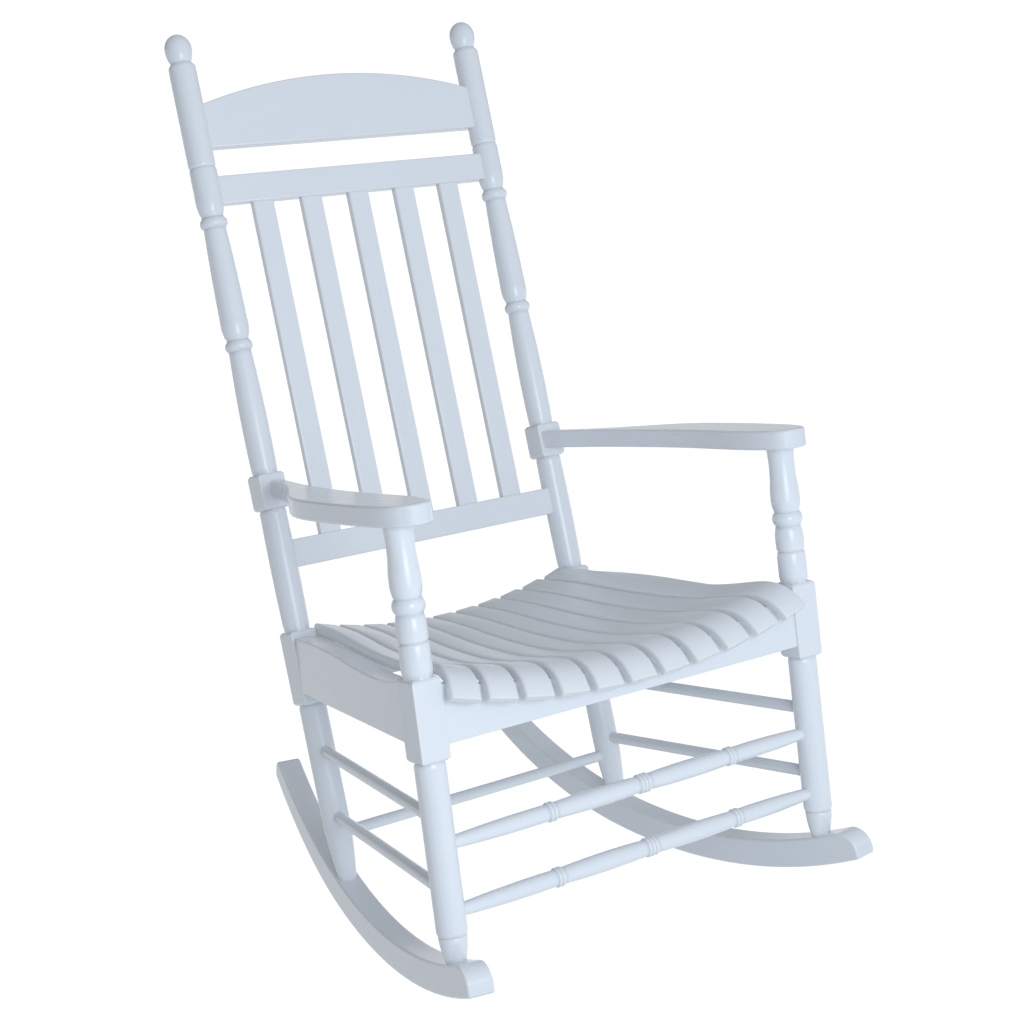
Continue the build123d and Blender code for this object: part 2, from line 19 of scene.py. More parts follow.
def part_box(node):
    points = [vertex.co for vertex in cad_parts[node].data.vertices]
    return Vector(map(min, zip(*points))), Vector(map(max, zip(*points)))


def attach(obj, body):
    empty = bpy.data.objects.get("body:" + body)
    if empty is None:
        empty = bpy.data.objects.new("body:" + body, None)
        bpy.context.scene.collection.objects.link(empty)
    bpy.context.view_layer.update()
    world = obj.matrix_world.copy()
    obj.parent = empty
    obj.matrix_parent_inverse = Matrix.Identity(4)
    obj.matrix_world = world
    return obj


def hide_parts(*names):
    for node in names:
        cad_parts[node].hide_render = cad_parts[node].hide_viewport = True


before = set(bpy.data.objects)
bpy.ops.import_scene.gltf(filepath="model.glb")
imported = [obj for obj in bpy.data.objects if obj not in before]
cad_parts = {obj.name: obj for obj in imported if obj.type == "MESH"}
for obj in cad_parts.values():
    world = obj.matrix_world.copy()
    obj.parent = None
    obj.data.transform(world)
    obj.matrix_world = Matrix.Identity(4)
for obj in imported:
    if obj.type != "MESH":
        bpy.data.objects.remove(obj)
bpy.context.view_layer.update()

LOG = logging.getLogger("rocking_chair")

MM = 0.001                      # metres in a millimetre
BODY = "root"
CREASE = math.radians(50)       # a fold sharper than this keeps its line in the paint

Point = tuple[float, float]
Ring = list[Vector]


class Side(Enum):
    """The two halves of the chair, by the sign of X."""

    LEFT = -1
    RIGHT = 1

    @property
    def word(self) -> str:
        """The side's name as the nodes spell it."""
        return self.name.lower()


class Fibres(Enum):
    """The axis of a piece's own frame that the wood's fibres run along, then the other two."""

    X = (0, 1, 2)
    Y = (1, 0, 2)
    Z = (2, 0, 1)


# ------------------------------------------------------------------ placing

def turn(angle: float, axis: str) -> Matrix:
    """A rotation by an angle in degrees about X, Y or Z."""
    return Matrix.Rotation(math.radians(angle), 4, axis)


def shift(x: float, y: float, z: float) -> Matrix:
    """A move, in millimetres."""
    return Matrix.Translation((x, y, z))


def in_metres(placing: Matrix) -> Matrix:
    """The same placing with its move in metres, for an object whose mesh is in metres."""
    scaled = placing.copy()
    scaled.translation = placing.translation * MM
    return scaled


# Stands a board that is drawn flat in XY upright across the chair, its drawn Y turned up.
UPRIGHT = turn(90, "X")
# Stands it on edge along the chair: drawn X runs back, drawn Y up, and thickness across.
ON_EDGE = Matrix(((0, 0, 1, 0), (1, 0, 0, 0), (0, 1, 0, 0), (0, 0, 0, 1)))


@dataclass(frozen=True)
class LeaningStick:
    """The axis of a post or leg that leans back: where its top is and how far it leans."""

    half_spread: float
    top_y: float
    top_z: float
    lean: float

    def at(self, side: Side, station: float) -> Vector:
        """The point on the axis at a station.

        Args:
            side: The side of the chair that the stick stands on.
            station: Distance down from the top, in millimetres.

        Returns:
            The point, in millimetres.
        """
        lean = math.radians(self.lean)
        return Vector((side.value * self.half_spread,
                       self.top_y - station * math.sin(lean),
                       self.top_z - station * math.cos(lean)))

    def placing(self, x: float = 0.0) -> Matrix:
        """The frame at the top of the stick, its Z up the stick and its Y behind it."""
        return shift(x, self.top_y, self.top_z) @ turn(-self.lean, "X")


POST_AXIS = LeaningStick(half_spread=229.5, top_y=437.0, top_z=1143.0, lean=21.55)
LEG_AXIS = LeaningStick(half_spread=287.5, top_y=-263.8, top_z=637.2, lean=13.1)


# ------------------------------------------------------------------ outlines and rings

def smooth_through(points: list[Point], count: int) -> list[Point]:
    """A fair curve through points: a natural cubic spline run at chord length.

    Args:
        points: The points that the curve passes through.
        count: How many points to give back along it.

    Returns:
        Points along the curve, evenly spaced by chord.
    """
    p = np.array(points, float)
    knots = np.concatenate([[0.0], np.cumsum(np.linalg.norm(np.diff(p, axis=0), axis=1))])
    gap = np.diff(knots)
    last = len(p) - 1
    system = np.eye(last + 1)
    pull = np.zeros_like(p)
    for i in range(1, last):
        system[i, i - 1:i + 2] = gap[i - 1], 2 * (gap[i - 1] + gap[i]), gap[i]
        pull[i] = 6 * ((p[i + 1] - p[i]) / gap[i] - (p[i] - p[i - 1]) / gap[i - 1])
    bend = np.linalg.solve(system, pull)
    run = np.linspace(0.0, knots[-1], count)
    i = np.clip(np.searchsorted(knots, run, side="right") - 1, 0, last - 1)
    h = gap[i][:, None]
    before = (knots[i + 1] - run)[:, None]
    after = (run - knots[i])[:, None]
    curve = ((bend[i] * before ** 3 + bend[i + 1] * after ** 3) / (6 * h)
             + (p[i] / h - bend[i] * h / 6) * before
             + (p[i + 1] / h - bend[i + 1] * h / 6) * after)
    return [tuple(c) for c in curve.tolist()]


def arc_through(a: Point, b: Point, c: Point, steps: int = 24) -> list[Point]:
    """Points on the circle through three points, from the first to the last.

    Args:
        a: Where the arc starts.
        b: A point on it.
        c: Where it ends.
        steps: How many chords it is drawn with.

    Returns:
        The points, both ends among them.
    """
    (ax, ay), (bx, by), (cx, cy) = a, b, c
    twice = 2 * (ax * (by - cy) + bx * (cy - ay) + cx * (ay - by))
    a2, b2, c2 = ax * ax + ay * ay, bx * bx + by * by, cx * cx + cy * cy
    ox = (a2 * (by - cy) + b2 * (cy - ay) + c2 * (ay - by)) / twice
    oy = (a2 * (cx - bx) + b2 * (ax - cx) + c2 * (bx - ax)) / twice
    radius = math.hypot(ax - ox, ay - oy)
    start = math.atan2(ay - oy, ax - ox)
    sweep = math.atan2(cy - oy, cx - ox) - start
    middle = (math.atan2(by - oy, bx - ox) - start) % math.tau
    sweep %= math.tau
    if middle > sweep:
        sweep -= math.tau
    return [(ox + radius * math.cos(start + sweep * k / steps),
             oy + radius * math.sin(start + sweep * k / steps)) for k in range(steps + 1)]


def rounded_between(runs: tuple[list[Point], ...], radii: tuple[float, ...]) -> list[Point]:
    """Joins open runs of points into one outline with rounded corners.

    Args:
        runs: The runs in order; each starts where the one before it ends.
        radii: The radius at the end of each run.

    Returns:
        The closed outline.
    """
    cuts = []
    for run, after, radius in zip(runs, [*runs[1:], runs[0]], radii):
        corner = Vector(run[-1])
        back = (Vector(run[-2]) - corner).normalized()
        ahead = (Vector(after[1]) - corner).normalized()
        half = back.angle(ahead) / 2
        reach = radius / math.tan(half)
        middle = corner + (back + ahead).normalized() * radius / math.sin(half)
        top = middle + (corner - middle).normalized() * radius
        arc = arc_through(tuple(point_at(run, reach, from_end=True)), tuple(top),
                          tuple(point_at(after, reach)), 12)
        cuts.append((reach, arc))
    outline = []
    for index, run in enumerate(runs):
        before, after = cuts[index - 1][0], cuts[index][0]
        start, end = Vector(run[0]), Vector(run[-1])
        outline += [p for p in run if (Vector(p) - start).length > before + 1.0
                    and (Vector(p) - end).length > after + 1.0]
        outline += cuts[index][1]
    return outline


def point_at(run: list[Point], reach: float, from_end: bool = False) -> Vector:
    """The point of a run that is reach away from one of its ends."""
    points = [Vector(p) for p in (reversed(run) if from_end else run)]
    for near, far in zip(points, points[1:]):
        if (far - points[0]).length >= reach:
            start, end = (near - points[0]).length, (far - points[0]).length
            return near.lerp(far, (reach - start) / (end - start))
    return points[-1]


def inset_outline(outline: list[Point], inset: float) -> list[Point]:
    """Moves every corner of a closed outline inwards along its mitre.

    Args:
        outline: The corners, in order round the outline, anticlockwise.
        inset: How far each side moves in.

    Returns:
        The moved corners.
    """
    moved = []
    for i, (x, y) in enumerate(outline):
        before = Vector(outline[i - 1])
        after = Vector(outline[(i + 1) % len(outline)])
        here = Vector((x, y))
        into = (here - before).normalized()
        out = (after - here).normalized()
        normal = Vector((-into.y, into.x))
        mitre = (normal + Vector((-out.y, out.x))).normalized()
        reach = inset / max(0.35, mitre.dot(normal))
        moved.append((x + mitre.x * reach, y + mitre.y * reach))
    return moved


def anticlockwise(outline: list[Point]) -> list[Point]:
    """The outline in anticlockwise order, with corners that repeat left out."""
    tidy = [p for i, p in enumerate(outline) if math.dist(p, outline[i - 1]) > 1e-3]
    doubled_area = sum(x0 * y1 - x1 * y0
                       for (x0, y0), (x1, y1) in zip(tidy, tidy[1:] + tidy[:1]))
    return tidy if doubled_area > 0 else tidy[::-1]


def eased(radius: float, steps: int = 4) -> list[Point]:
    """The (depth, inset) of an edge rounded over, from the face to the side."""
    angles = [math.pi / 2 * k / steps for k in range(steps + 1)]
    return [(radius * (1 - math.cos(a)), radius * (1 - math.sin(a))) for a in angles]


def board_rings(outline: list[Point], thickness: float, edge: float) -> list[Ring]:
    """The rings of a sawn board with all its edges rounded over.

    Args:
        outline: The board's outline, drawn in XY.
        thickness: The board's thickness, along Z from zero.
        edge: The radius of its edges.

    Returns:
        The rings, from the lower face to the upper one. An extra ring on each face and
        each side keeps the flats flat in the shading.
    """
    outline = anticlockwise(outline)
    support = 1.5
    lower = [(0.0, edge + support), *eased(edge), (edge + support, 0.0)]
    levels = lower + [(thickness - depth, inset) for depth, inset in reversed(lower)]
    return [[Vector((x, y, level)) for x, y in inset_outline(outline, inset)]
            for level, inset in levels]


@dataclass
class Skin:
    """A closed skin stretched over a row of rings with the same number of points each."""

    rings: list[Ring]
    fibres: Fibres
    placing: Matrix

    def to_mesh(self, name: str, serial: int) -> bpy.types.Mesh:
        """Makes the mesh, with its fibre coordinates, the paint film's thin places, and the hollows
        that get painted shade.

        Args:
            name: The mesh's name.
            serial: The piece's number, which moves its grain so that no two boards match.

        Returns:
            The mesh, in metres, in the piece's own frame.
        """
        bm = bmesh.new()
        loops = [[bm.verts.new(p * MM) for p in ring] for ring in self.rings]
        count = len(loops[0])
        for lower, upper in zip(loops, loops[1:]):
            for k in range(count):
                j = (k + 1) % count
                bm.faces.new((lower[k], lower[j], upper[j], upper[k]))
        bm.faces.new(loops[0][::-1])
        bm.faces.new(loops[-1])
        bmesh.ops.remove_doubles(bm, verts=bm.verts, dist=2e-6)
        bmesh.ops.recalc_face_normals(bm, faces=bm.faces)
        axis = self.fibres.value[0]
        for face in bm.faces:
            face.smooth = True
            face.material_index = int(abs(face.normal[axis]) > 0.8)
        self._film_wear_and_shade(bm)
        self._grain(bm, serial)
        mesh = bpy.data.meshes.new(name)
        bm.to_mesh(mesh)
        bm.free()
        mesh.set_sharp_from_angle(angle=CREASE)
        return mesh

    def _grain(self, bm: bmesh.types.BMesh, serial: int) -> None:
        """Stores where each point lies along and across the fibres, in metres."""
        layer = bm.verts.layers.float_vector.new("fibre_place")
        log = Vector((0.371, 0.113, 0.257)) * serial
        for vert in bm.verts:
            vert[layer] = Vector([vert.co[k] for k in self.fibres.value]) + log

    def _film_wear_and_shade(self, bm: bmesh.types.BMesh) -> None:
        """Stores where the paint draws thin, on edges, and the hollows where the colour is darkened
        as painted shade.
        """
        thin = bm.verts.layers.float.new("film_thin")
        # the hollows, whose colour the material darkens as painted shade
        full = bm.verts.layers.float.new("hollow_shade")
        bm.normal_update()
        sharpest = 500.0            # per metre: an edge of 2 mm radius
        for vert in bm.verts:
            bend = [2 * (e.other_vert(vert).co - vert.co).normalized().dot(vert.normal)
                    / max(e.calc_length(), 4e-4) for e in vert.link_edges]
            vert[thin] = min(1.0, max(0.0, -min(bend, default=0.0) - 80.0) / sharpest)
            # how much painted shade a hollow gets
            vert[full] = min(1.0, max(0.0, max(bend, default=0.0) - 40.0) / sharpest)


# ------------------------------------------------------------------ finishes

def linear(colour: str) -> tuple[float, float, float, float]:
    """Turns an sRGB hex colour to linear RGBA.

    Args:
        colour: Six hex digits after a hash.

    Returns:
        The linear colour with an alpha of one.
    """
    parts = [int(colour[i:i + 2], 16) / 255 for i in (1, 3, 5)]
    straight = [c / 12.92 if c <= 0.04045 else ((c + 0.055) / 1.055) ** 2.4 for c in parts]
    return (*straight, 1.0)


def add_node(tree: bpy.types.NodeTree, kind: str, links: dict | None = None,
             values: dict | None = None, **settings: object) -> bpy.types.Node:
    """Adds a node with its settings, its socket values and the links into it.

    Args:
        tree: The node tree to add to.
        kind: The node's type, such as "ShaderNodeBump".
        links: Sockets that feed the node's inputs, by input name or number.
        values: Plain values for the node's inputs, by input name or number.
        **settings: The node's own properties.

    Returns:
        The new node.
    """
    node = tree.nodes.new(kind)
    for key, value in settings.items():
        setattr(node, key, value)
    for key, value in (values or {}).items():
        node.inputs[key].default_value = value
    for key, socket in (links or {}).items():
        tree.links.new(socket, node.inputs[key])
    return node


@dataclass(frozen=True)
class Enamel:
    """White satin enamel on hardwood: a pale film that shows the wood's shape, not its colour.

    The film is a shade cooler than paper. Its colour is darkened in creases and hollows as
    painted shade, and it draws thin over edges, where the primer greys it. The sizes are those
    of the real marks, in millimetres, and the relief of each is how far it stands, in thousandths
    of one.
    """

    name: str = "satin enamel"
    film: str = "#E7EBEF"
    # painted shade: the darker colour laid into creases and hollows
    shade_in_creases: str = "#D3DCE6"
    thin_film: str = "#EDEDEA"
    roughness: float = 0.27
    coat: float = 0.3
    streak_long: float = 95.0       # a brush mark, or a vessel in the wood under a thin coat
    streak_wide: float = 2.6        # bristles are 0.1 mm apart: drawn as wide as shows
    streak_relief: float = 5.0
    peel: float = 4.2               # orange peel is 1 to 2 mm: drawn as wide as shows
    peel_relief: float = 5.0
    ring: float = 0.0               # tool rings round a turning, none on a board
    ring_relief: float = 0.0
    cloud: float = 110.0            # slow change in the film's depth
    tint: float = 0.014             # how much the clouds and streaks change its lightness

    def noise(self, tree: bpy.types.NodeTree, place: bpy.types.NodeSocket,
              size: tuple[float, float, float], detail: float) -> bpy.types.NodeSocket:
        """A noise pattern of a real size along, across and through the fibres.

        Args:
            tree: The material's node tree.
            place: The fibre coordinates, in metres.
            size: The pattern's size in millimetres in the three directions.
            detail: How many finer layers it has.

        Returns:
            The pattern's value, about one half on average.
        """
        scale = tuple(1 / (s * MM) for s in size)
        spread = add_node(tree, "ShaderNodeVectorMath", {0: place}, {1: scale},
                          operation="MULTIPLY")
        made = add_node(tree, "ShaderNodeTexNoise", {"Vector": spread.outputs[0]},
                        {"Scale": 1.0, "Detail": detail, "Roughness": 0.55})
        return made.outputs["Fac"]

    def relief(self, tree: bpy.types.NodeTree, height: bpy.types.NodeSocket, thousandths: float,
               below: bpy.types.NodeSocket | None) -> bpy.types.NodeSocket:
        """Lays a pattern on the surface as relief, over the relief below it.

        Args:
            tree: The material's node tree.
            height: The pattern, from 0 to 1.
            thousandths: How far it stands, in thousandths of a millimetre.
            below: The normal that it is laid on, or None for the plain surface.

        Returns:
            The new normal.
        """
        links = {"Height": height} if below is None else {"Height": height, "Normal": below}
        bump = add_node(tree, "ShaderNodeBump", links,
                        {"Strength": 1.0, "Distance": thousandths * MM * MM})
        return bump.outputs["Normal"]

    def blend(self, tree: bpy.types.NodeTree, share: bpy.types.NodeSocket,
              under: object, over: object, mode: str = "MIX") -> bpy.types.NodeSocket:
        """Mixes two colours by a share; each is a socket or an sRGB hex colour."""
        node = add_node(tree, "ShaderNodeMix", {"Factor": share}, data_type="RGBA",
                        blend_type=mode)
        for key, colour in ((6, under), (7, over)):
            if isinstance(colour, str):
                node.inputs[key].default_value = linear(colour)
            else:
                tree.links.new(colour, node.inputs[key])
        return node.outputs[2]

    def to_range(self, tree: bpy.types.NodeTree, value: bpy.types.NodeSocket,
                 low: float, high: float) -> bpy.types.NodeSocket:
        """Spreads the middle of a noise over a range, and holds its ends."""
        node = add_node(tree, "ShaderNodeMapRange", {"Value": value},
                        {"From Min": 0.28, "From Max": 0.72, "To Min": low, "To Max": high})
        return node.outputs["Result"]

    def extra_relief(self, tree: bpy.types.NodeTree, place: bpy.types.NodeSocket,
                     below: bpy.types.NodeSocket) -> bpy.types.NodeSocket:
        """Marks of this finish's own, over the common ones. The plain enamel has none."""
        return below

    def to_material(self) -> bpy.types.Material:
        """Makes the material with its nodes.

        Returns:
            The material, which reads the coordinates, the thin film and the painted-shade hollows
            of each skin.
        """
        material = bpy.data.materials.new(self.name)
        material.use_nodes = True
        tree = material.node_tree
        shader = tree.nodes["Principled BSDF"]
        place = add_node(tree, "ShaderNodeAttribute", attribute_name="fibre_place")
        thin = add_node(tree, "ShaderNodeAttribute", attribute_name="film_thin").outputs["Fac"]
        # the hollows, which get painted shade
        full = add_node(tree, "ShaderNodeAttribute", attribute_name="hollow_shade").outputs["Fac"]
        where = place.outputs["Vector"]
        streaks = self.noise(tree, where, (self.streak_long, self.streak_wide,
                                           self.streak_wide), 3.0)
        peel = self.noise(tree, where, (self.peel,) * 3, 2.0)
        clouds = self.noise(tree, where, (self.cloud, self.cloud * 0.4, self.cloud * 0.4), 2.0)

        # painted shade: creases and hollows are darkened towards the darker colour
        colour = self.blend(tree, full, self.film, self.shade_in_creases)
        colour = self.blend(tree, thin, colour, self.thin_film)
        for pattern, depth in ((clouds, self.tint), (streaks, self.tint * 0.6)):
            grey = self.to_range(tree, pattern, 1.0 - depth, 1.0)
            shade = add_node(tree, "ShaderNodeCombineColor",
                             {"Red": grey, "Green": grey, "Blue": grey})
            whole = add_node(tree, "ShaderNodeMix", None, {"Factor": 1.0}, data_type="RGBA",
                             blend_type="MULTIPLY")
            tree.links.new(colour, whole.inputs[6])
            tree.links.new(shade.outputs[0], whole.inputs[7])
            colour = whole.outputs[2]
        tree.links.new(colour, shader.inputs["Base Color"])

        sheen = self.to_range(tree, streaks, self.roughness - 0.006, self.roughness + 0.006)
        worn = add_node(tree, "ShaderNodeMath", {0: thin, 2: sheen}, {1: 0.12},
                        operation="MULTIPLY_ADD")
        tree.links.new(worn.outputs[0], shader.inputs["Roughness"])

        normal = self.relief(tree, streaks, self.streak_relief, None)
        normal = self.relief(tree, peel, self.peel_relief, normal)
        normal = self.extra_relief(tree, where, normal)
        tree.links.new(normal, shader.inputs["Normal"])
        shader.inputs["IOR"].default_value = 1.5
        shader.inputs["Coat Weight"].default_value = self.coat
        shader.inputs["Coat Roughness"].default_value = 0.22
        return material


@dataclass(frozen=True)
class SprayedTurning(Enamel):
    """Enamel sprayed on lathe-turned hardwood: smooth, with faint tool rings round it."""

    name: str = "satin enamel, sprayed on lathe-turned hardwood"
    streak_long: float = 150.0
    streak_wide: float = 3.4
    streak_relief: float = 3.0
    ring: float = 2.4               # a gouge leaves 0.4 mm rings: drawn as wide as shows
    ring_relief: float = 3.0

    def extra_relief(self, tree: bpy.types.NodeTree, place: bpy.types.NodeSocket,
                     below: bpy.types.NodeSocket) -> bpy.types.NodeSocket:
        """Rings left by the tool: a noise that changes only along the turning's axis."""
        along = add_node(tree, "ShaderNodeSeparateXYZ", {0: place}).outputs["X"]
        rings = add_node(tree, "ShaderNodeTexNoise", {"W": along},
                         {"Scale": 1 / (self.ring * MM), "Detail": 2.0},
                         noise_dimensions="1D")
        return self.relief(tree, rings.outputs["Fac"], self.ring_relief, below)


@dataclass(frozen=True)
class BrushedBoard(Enamel):
    """Enamel brushed on planed boards: long soft brush marks that lie along the board."""

    name: str = "satin enamel, brushed on planed hardwood"


@dataclass(frozen=True)
class RubbedSeat(Enamel):
    """Enamel on the seat, rubbed by use: brush marks worn down, a drier sheen on the crowns."""

    name: str = "satin enamel, rubbed on seat slats"
    roughness: float = 0.33
    coat: float = 0.15
    streak_long: float = 70.0
    streak_relief: float = 5.0
    tint: float = 0.018


@dataclass(frozen=True)
class DrawnDowel(Enamel):
    """Enamel on dowels drawn through a die: straight fine lines from end to end."""

    name: str = "satin enamel on drawn dowel"
    streak_long: float = 260.0
    streak_wide: float = 2.2
    streak_relief: float = 4.0


@dataclass(frozen=True)
class SealedEndGrain(Enamel):
    """Enamel on sawn end grain: the open pores drink it, so it is flat, and faintly pitted."""

    name: str = "satin enamel on sawn end grain"
    film: str = "#E0E5EA"
    roughness: float = 0.45
    coat: float = 0.0
    streak_long: float = 3.0
    streak_wide: float = 3.0
    streak_relief: float = 9.0
    tint: float = 0.02


@dataclass(frozen=True)
class ScuffedRunner(Enamel):
    """Enamel on the rockers: brushed on sawn boards, rubbed dull and grey where they roll."""

    name: str = "satin enamel, scuffed on rocker boards"
    scuff: str = "#C9CBCB"
    roughness: float = 0.30

    def to_material(self) -> bpy.types.Material:
        """Adds the scuffs to the common enamel.

        Returns:
            The material. Scuffs lie only where the face looks down at the floor.
        """
        material = super().to_material()
        tree = material.node_tree
        shader = tree.nodes["Principled BSDF"]
        place = add_node(tree, "ShaderNodeAttribute", attribute_name="fibre_place")
        marks = self.noise(tree, place.outputs["Vector"], (26.0, 5.0, 5.0), 4.0)
        marks = self.to_range(tree, marks, 0.0, 1.0)
        facing = add_node(tree, "ShaderNodeNewGeometry").outputs["Normal"]
        up = add_node(tree, "ShaderNodeSeparateXYZ", {0: facing}).outputs["Z"]
        down = add_node(tree, "ShaderNodeMapRange", {"Value": up},
                        {"From Min": -0.55, "From Max": -0.95, "To Min": 0.0, "To Max": 1.0})
        share = add_node(tree, "ShaderNodeMath", {0: marks, 1: down.outputs["Result"]},
                         operation="MULTIPLY").outputs[0]
        clean = shader.inputs["Base Color"].links[0].from_socket
        tree.links.new(self.blend(tree, share, clean, self.scuff), shader.inputs["Base Color"])
        return material


class Finish(Enum):
    """The finishes of the chair."""

    TURNING = SprayedTurning()
    BOARD = BrushedBoard()
    SEAT = RubbedSeat()
    DOWEL = DrawnDowel()
    RUNNER = ScuffedRunner()
    END_GRAIN = SealedEndGrain()


@dataclass
class PaintShop:
    """Makes each finish once, dresses every piece in its own, and hangs it on the frame."""

    made: dict[Finish, bpy.types.Material] = field(default_factory=dict)
    count: int = 0

    def material(self, finish: Finish) -> bpy.types.Material:
        """The material of a finish, made at its first use."""
        if finish not in self.made:
            self.made[finish] = finish.value.to_material()
        return self.made[finish]

    def hang(self, node: str, skin: Skin, finish: Finish) -> bpy.types.Object:
        """Makes a piece from its skin, paints it, and stands it for its CAD node.

        Args:
            node: The CAD node that the piece stands for.
            skin: The piece's skin.
            finish: Its paint. Faces across the fibres get the end grain's.

        Returns:
            The new object.
        """
        self.count += 1
        mesh = skin.to_mesh(f"{node}.mesh", self.count)
        mesh.materials.append(self.material(finish))
        mesh.materials.append(self.material(Finish.END_GRAIN))
        piece = bpy.data.objects.new(f"{node}.painted", mesh)
        bpy.context.scene.collection.objects.link(piece)
        piece.matrix_world = in_metres(skin.placing)
        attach(piece, BODY)
        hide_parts(node)
        self._report(piece, node)
        return piece

    def _report(self, piece: bpy.types.Object, node: str) -> None:
        """Logs the piece's size, and how far its box stands from its CAD node's."""
        low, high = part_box(node)
        points = [piece.matrix_world @ v.co for v in piece.data.vertices]
        mine_low = Vector([min(p[k] for p in points) for k in range(3)])
        mine_high = Vector([max(p[k] for p in points) for k in range(3)])
        off = max(abs(v) for v in (*(mine_low - low), *(mine_high - high))) / MM
        LOG.info("%-26s %5d faces, box within %.1f mm of the CAD node",
                 piece.name, len(piece.data.polygons), off)


# ------------------------------------------------------------------ turned work

@dataclass
class Turning:
    """A stick turned between centres, drawn from its top down, with square blocks left on it."""

    block_width: float = 39.0
    block_corner: float = 1.4
    groove_width: float = 4.4
    groove_depth: float = 2.0
    sides: int = 64
    cuts: list[tuple[float, float, float]] = field(default_factory=list)

    def start(self, station: float, diameter: float) -> "Turning":
        """Sets the first station and its diameter."""
        self.cuts.append((station, diameter, 0.0))
        return self

    def to(self, station: float, diameter: float, rise: float = 0.0) -> "Turning":
        """Cuts to a station, straight, or bowed by rise at the middle.

        Args:
            station: Where the cut ends.
            diameter: The diameter there.
            rise: How far the middle of the cut stands out from a straight taper.

        Returns:
            The turning, so that cuts can follow each other.
        """
        s0, d0, _ = self.cuts[-1]
        steps = max(1, math.ceil((station - s0) / (3.0 if abs(rise) > 0.6 else 8.0)))
        steps = min(steps, 26) if rise else 1
        for k in range(1, steps + 1):
            t = k / steps
            bow = 8 * rise * t * (1 - t)
            self.cuts.append((s0 + (station - s0) * t, d0 + (diameter - d0) * t + bow, 0.0))
        return self

    def bead(self, width: float, crown: float, steps: int = 12) -> "Turning":
        """Cuts a round bead that stands on the present diameter."""
        s0, neck, _ = self.cuts[-1]
        height = (crown - neck) / 2
        radius = (width * width / 4 + height * height) / (2 * height)
        half = math.asin(min(1.0, width / 2 / radius))
        for k in range(1, steps + 1):
            angle = half * (2 * k / steps - 1)
            lift = radius * math.cos(angle) - (radius - height)
            station = s0 + width / 2 + radius * math.sin(angle)
            self.cuts.append((station, neck + 2 * lift, 0.0))
        return self

    def groove(self, station: float) -> "Turning":
        """Cuts straight to a groove and through it, its edges and floor softened by paint."""
        diameter = self.cuts[-1][1]
        half = self.groove_width / 2
        for offset, depth in ((-2.4 * half, 0.0), (-1.4 * half, 0.1), (-0.8 * half, 0.3),
                              (-0.3 * half, 0.8), (0.0, 1.0), (0.3 * half, 0.8),
                              (0.8 * half, 0.3), (1.4 * half, 0.1), (2.4 * half, 0.0)):
            cut = diameter - 2 * depth * self.groove_depth
            self.cuts.append((station + offset, cut, 0.0))
        return self

    def block(self, length: float) -> "Turning":
        """Leaves a square block of a given length, its ends chamfered and eased."""
        s0, diameter, _ = self.cuts[-1]
        half = self.block_width / 2
        end = [(0.0, 3.3), (0.5, 2.6), (2.6, 0.5), (3.3, 0.12), (4.4, 0.0), (7.0, 0.0)]
        for offset, inset in end:
            self.cuts.append((s0 + offset, diameter, half - inset))
        for offset, inset in reversed(end):
            self.cuts.append((s0 + length - offset, diameter, half - inset))
        self.cuts.append((s0 + length, diameter, 0.0))
        return self

    def angles(self) -> list[float]:
        """The directions of a ring's points: even, and closer at the corners of a block."""
        even = [math.tau * k / self.sides for k in range(self.sides)]
        near = [math.radians(corner + off) for corner in (45, 135, 225, 315)
                for off in (-1.9, -0.95, 0.95, 1.9)]
        return sorted(even + near)

    def squared(self, angle: float, half: float) -> float:
        """How far a rounded square reaches in a direction.

        Args:
            angle: The direction, in radians.
            half: Half the square's width, or zero where there is no square.

        Returns:
            The reach from the axis.
        """
        if half <= 0:
            return 0.0
        off = abs((angle + math.pi / 4) % (math.pi / 2) - math.pi / 4)
        core = half - self.block_corner
        if math.tan(off) <= core / half:
            return half / math.cos(off)
        both = math.cos(off) + math.sin(off)
        return core * both + math.sqrt((core * both) ** 2 - 2 * core ** 2
                                       + self.block_corner ** 2)

    def skin(self, placing: Matrix) -> Skin:
        """The turning's skin.

        Args:
            placing: The frame at the turning's station zero, its Z up the axis.

        Returns:
            The skin, its fibres along the axis.
        """
        angles = self.angles()
        rings = []
        for station, diameter, half in self.cuts:
            ring = []
            for angle in angles:
                reach = max(diameter / 2, self.squared(angle, half))
                ring.append(Vector((reach * math.cos(angle), reach * math.sin(angle),
                                    -station)))
            rings.append(ring)
        return Skin(rings, Fibres.Z, placing)


